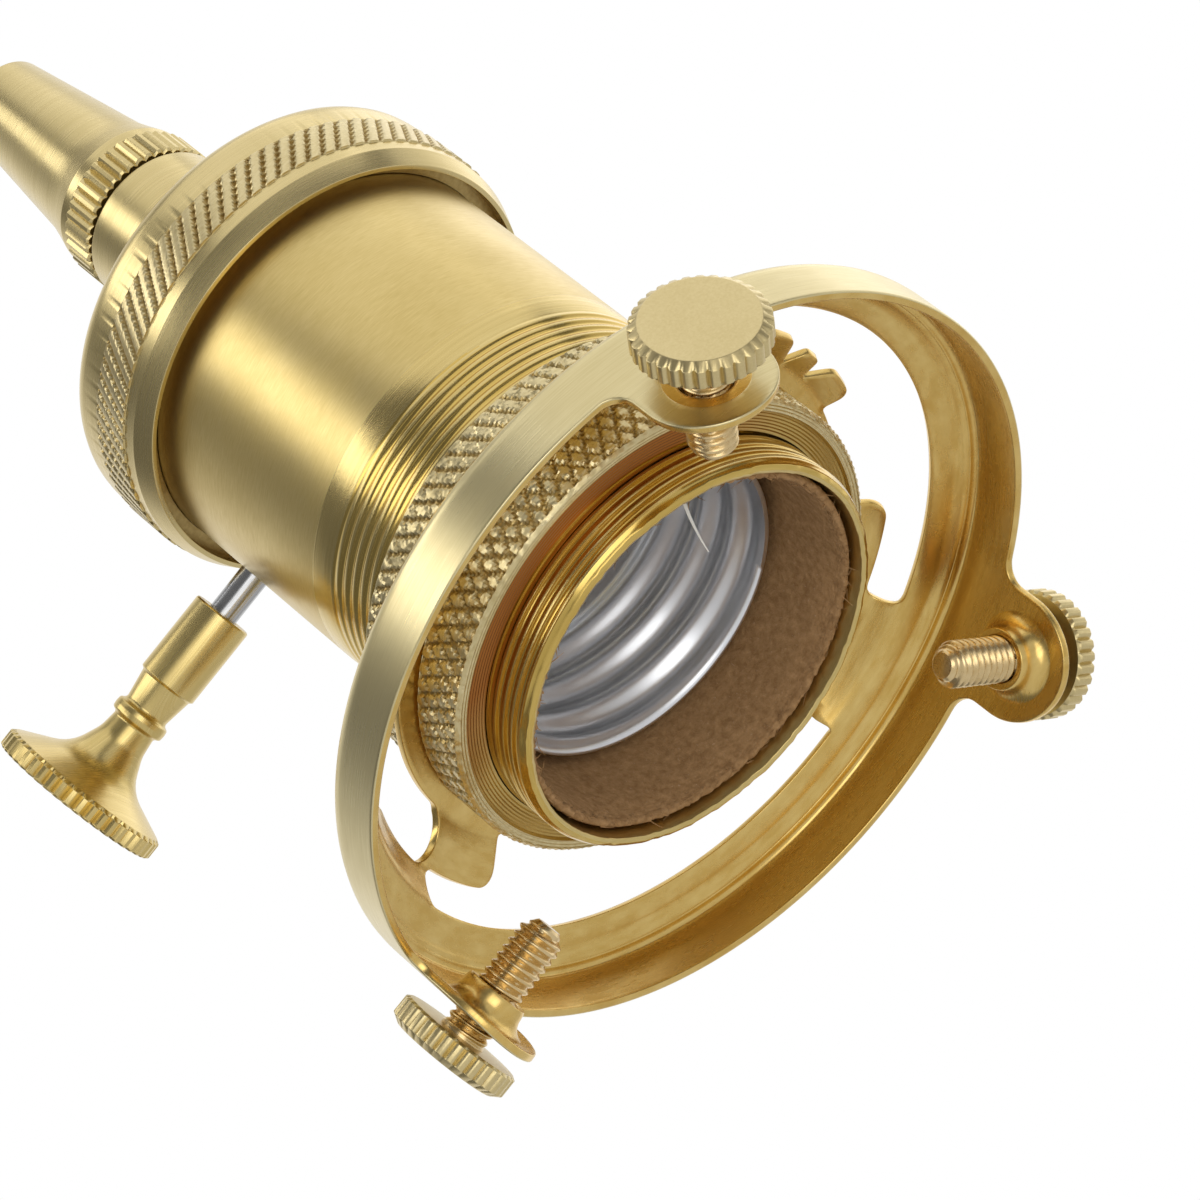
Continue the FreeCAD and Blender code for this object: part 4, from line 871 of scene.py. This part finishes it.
def make_screw_shell():
    """Rolled lamp thread with a plain deep end and a turned-out rim."""
    pitch, bore, wall, roll, floor_bore = 3.6286, 13.25, 0.35, 0.85, 8.6
    low, high = LAMP_LOW, LAMP_HIGH
    plain = low + 14.0
    levels = np.arange(low + 0.5, plain + 1.0, 0.2)
    section = fillet([(bore, low + 0.02), (bore + wall + 0.15, low + 0.02, 0.1), (bore + wall, low + 0.3)]
                     + [(bore + wall, level) for level in levels]
                     + [(bore + wall, high, 0.6), (floor_bore, high), (floor_bore, high - wall),
                        (bore, high - wall, 0.5)]
                     + [(bore, level) for level in levels[::-1]])

    def relief(turn, radius, height):
        wave = 0.5 - 0.5 * np.cos(TAU * ((height - low - 1.0) / pitch - turn / TAU))
        return radius - roll * wave * window(height, low + 0.3, plain, 1.2) * (radius > bore - 0.3), height

    obj = turned("lamp_thread_rolled", section, LAMP_AROUND, [ALUMINIUM], relief, angle=80.0)
    return place(obj, "holder", "aluminium_thread", "screw_shell")


LINER_INNER, LINER_OUTER = 14.85, 15.65
FIBRES, SHRED_AZIMUTH = 220, -57.0


def make_liner():
    """Cardboard tube, rubbed soft at its open edge."""
    inner, outer, worn = LINER_INNER, LINER_OUTER, 1.8
    levels = np.concatenate([np.arange(LINER_LOW, LINER_LOW + 1.6, 0.1), np.arange(LINER_LOW + 1.6, LINER_HIGH, 1.5),
                             [LINER_HIGH]])
    across = np.linspace(inner, outer, 7)[1:-1]
    section = np.array([(outer, level) for level in levels[1:]] + [(inner, level) for level in levels[:0:-1]]
                       + [(radius, LINER_LOW) for radius in across])

    def relief(turn, radius, height):
        near = np.clip((LINER_LOW + worn - height) / worn, 0.0, 1.0)
        middle = (radius - (inner + outer) / 2.0) / ((outer - inner) / 2.0)
        sway = wander(turn, 5, (2, 3, 5, 7))
        fuzz = wander(turn, 6, (61, 97, 131, 173, 211)) + wander(turn + height, 7, (43, 83, 149))
        return (radius + near * (0.15 + 0.1 * sway + 0.05 * fuzz - 0.08 * middle),
                height - near * (0.5 - 0.14 * sway - 0.09 * fuzz - 0.16 * middle ** 2))

    board = turned("liner_board", section, LINER_AROUND, [CARDBOARD], relief, angle=75.0)
    obj = joined("liner_cardboard", [board] + make_fibres())
    return place(obj, "holder", "cardboard", "liner")


def make_fibres():
    """Loose fibres along the cardboard's rubbed edge."""
    rng = np.random.default_rng(11)
    fibres = []
    for number in range(FIBRES):
        azimuth, radius = rng.uniform(0.0, TAU), rng.uniform(LINER_INNER, LINER_OUTER)
        start = np.array([radius * math.cos(azimuth), radius * math.sin(azimuth), LINER_LOW - 0.45])
        sideways = np.array([-math.sin(azimuth), math.cos(azimuth), 0.0]) * rng.uniform(-1.0, 1.0)
        inwards = np.array([-math.cos(azimuth), -math.sin(azimuth), 0.0]) * rng.uniform(-0.15, 0.35)
        reach_out = sideways + inwards + np.array([0.0, 0.0, rng.uniform(-0.35, 0.1)])
        fibres.append(strand("fibre_%d" % number, start, reach_out, rng.uniform(0.3, 1.2), 0.05, 5))
    return fibres


def make_shred():
    """A pale shred that hangs from the liner's edge across the mouth."""
    turn, edge = math.radians(SHRED_AZIMUTH), LINER_INNER + 0.05
    start = np.array([edge * math.cos(turn), edge * math.sin(turn), LINER_LOW - 0.4])
    obj = strand("liner_shred", start, np.array([-0.5, 0.55, -0.62]), 4.0, 0.2, 14)
    obj.data.materials.clear()
    obj.data.materials.append(NYLON)
    return place(obj, "holder", "nylon")


def strand(name, start, direction, length, thickness, steps):
    """A thin, slightly curled fibre that tapers to its end."""
    direction = np.array(direction) / np.linalg.norm(direction)
    side = np.cross(direction, (0.3, 0.2, 0.9))
    side /= np.linalg.norm(side)
    third = np.cross(direction, side)
    points = []
    for step in range(steps + 1):
        share = step / steps
        middle = start + direction * length * share + side * 0.12 * length * share * share
        for corner in range(3):
            turn = corner * TAU / 3.0
            points.append(middle + (side * math.cos(turn) + third * math.sin(turn)) * thickness * (1.0 - 0.7 * share))
    faces = [(3 * step + corner, 3 * step + (corner + 1) % 3, 3 * step + 3 + (corner + 1) % 3, 3 * step + 3 + corner)
             for step in range(steps) for corner in range(3)]
    faces += [(2, 1, 0), (3 * steps, 3 * steps + 1, 3 * steps + 2)]
    return new_object(name, points, faces, [CARDBOARD])


def dress_cad_nodes():
    """Give the nodes that show as packed their materials."""
    for name, material in NODE_MATERIALS.items():
        node = frame["nodes"][name]
        node.data.materials.clear()
        node.data.materials.append(material)


# ---------------------------------------------------------------- studio

CAMERA_PLACE = Vector((0.06, -326.42, -232.2))
CAMERA_RIGHT = Vector((0.62434, 0.46841, -0.62513))
CAMERA_UP = Vector((0.78115, -0.37082, 0.50230))
CAMERA_LENS, CAMERA_SENSOR = 159.3, 36.0
FLOOR_LEVEL, FLOOR_HALF = -1500.0, 6000.0
LAMP_DISTANCE, LAMP_AIM = 700.0, Vector((0.0, 0.0, 25.0))
ROOM_GREY, ROOM_WHITE, ROOM_DAYLIGHT = 0.16, 1.0, 0.7


def softbox(name, azimuth, elevation, width, height, radiance):
    """A rectangular lamp that faces the lamp holder from a direction."""
    turn, rise = math.radians(azimuth), math.radians(elevation)
    direction = Vector((math.cos(rise) * math.cos(turn), math.cos(rise) * math.sin(turn), math.sin(rise)))
    data = bpy.data.lights.new(name, "AREA")
    data.shape = "RECTANGLE"
    data.size, data.size_y = width * MM, height * MM
    data.energy = radiance * math.pi * data.size * data.size_y
    lamp = bpy.data.objects.new(name, data)
    bpy.context.scene.collection.objects.link(lamp)
    lamp.location = (direction * LAMP_DISTANCE + LAMP_AIM) * MM
    lamp.rotation_euler = direction.to_track_quat("Z", "Y").to_euler()
    lamp.visible_camera = False


def make_studio():
    """Camera, floor and soft lamps round the lamp holder."""
    camera_data = bpy.data.cameras.new("camera")
    camera_data.lens = CAMERA_LENS
    camera_data.sensor_width = CAMERA_SENSOR
    camera_data.clip_start = 0.01
    camera = bpy.data.objects.new("camera", camera_data)
    bpy.context.scene.collection.objects.link(camera)
    rotation = Matrix((CAMERA_RIGHT, CAMERA_UP, CAMERA_RIGHT.cross(CAMERA_UP))).transposed().to_4x4()
    camera.matrix_world = Matrix.Translation(CAMERA_PLACE * MM) @ rotation
    bpy.context.scene.camera = camera

    half, level = FLOOR_HALF, FLOOR_LEVEL
    floor = new_object("floor", [(-half, -half, level), (half, -half, level), (half, half, level),
                                 (-half, half, level)], [(0, 1, 2, 3)], [floor_material()])
    softbox("lamp_left", -120.0, 35.0, 240.0, 900.0, 2.2)
    softbox("lamp_above", -37.0, 37.0, 900.0, 900.0, 0.8)
    softbox("lamp_right", 32.0, 12.0, 700.0, 1000.0, 0.55)
    softbox("lamp_front", -80.0, -38.0, 420.0, 420.0, 1.4)
    make_world()
    bpy.context.scene.view_settings.view_transform = "Standard"


def make_world():
    """White to the camera; metal mirrors a white wall behind it in a grey room, and even light falls all round."""
    world = bpy.data.worlds.new("studio")
    bpy.context.scene.world = world
    world.use_nodes = True
    tree = world.node_tree
    background = tree.nodes["Background"]
    direction = tree.nodes.new("ShaderNodeTexCoord")
    wall = tree.nodes.new("ShaderNodeVectorMath")
    wall.operation = "DOT_PRODUCT"
    wall.inputs[1].default_value = CAMERA_UP.cross(CAMERA_RIGHT)
    tree.links.new(direction.outputs["Generated"], wall.inputs[0])
    room = tree.nodes.new("ShaderNodeMapRange")
    room.interpolation_type = "SMOOTHSTEP"
    for socket, number in zip(("From Min", "From Max", "To Min", "To Max"), (0.2, 0.9, ROOM_GREY, ROOM_WHITE)):
        room.inputs[socket].default_value = number
    tree.links.new(wall.outputs["Value"], room.inputs["Value"])
    path = tree.nodes.new("ShaderNodeLightPath")
    seen = tree.nodes.new("ShaderNodeMix")
    seen.inputs["A"].default_value = ROOM_DAYLIGHT
    tree.links.new(path.outputs["Is Glossy Ray"], seen.inputs["Factor"])
    tree.links.new(room.outputs["Result"], seen.inputs["B"])
    straight = tree.nodes.new("ShaderNodeMath")
    straight.operation = "MAXIMUM"
    tree.links.new(path.outputs["Is Camera Ray"], straight.inputs[0])
    tree.links.new(path.outputs["Is Transmission Ray"], straight.inputs[1])
    level = tree.nodes.new("ShaderNodeMath")
    level.operation = "MAXIMUM"
    tree.links.new(straight.outputs["Value"], level.inputs[0])
    tree.links.new(seen.outputs["Result"], level.inputs[1])
    background.inputs["Color"].default_value = (1.0, 1.0, 1.0, 1.0)
    tree.links.new(level.outputs["Value"], background.inputs["Strength"])


def floor_material():
    """Pale matt floor, far below the lamp holder."""
    nodes = Nodes("floor_pale")
    soft = nodes.noise(nodes.scaled(0.01, 0.01, 0.01), 2.0, 0.5)
    nodes.link(nodes.mix(nodes.spread(soft, 0.3, 0.7, 0.0, 1.0), (0.86, 0.86, 0.86), (0.90, 0.90, 0.90)),
               nodes.shader.inputs["Base Color"])
    nodes.shader.inputs["Roughness"].default_value = 0.9
    return nodes.material


# ---------------------------------------------------------------- the whole scene

make_outer_shell()
make_rings()
make_cap()
make_cord_grip()
make_knob()
make_screws()
make_gallery()
make_screw_shell()
make_liner()
make_shred()
dress_cad_nodes()
make_studio()
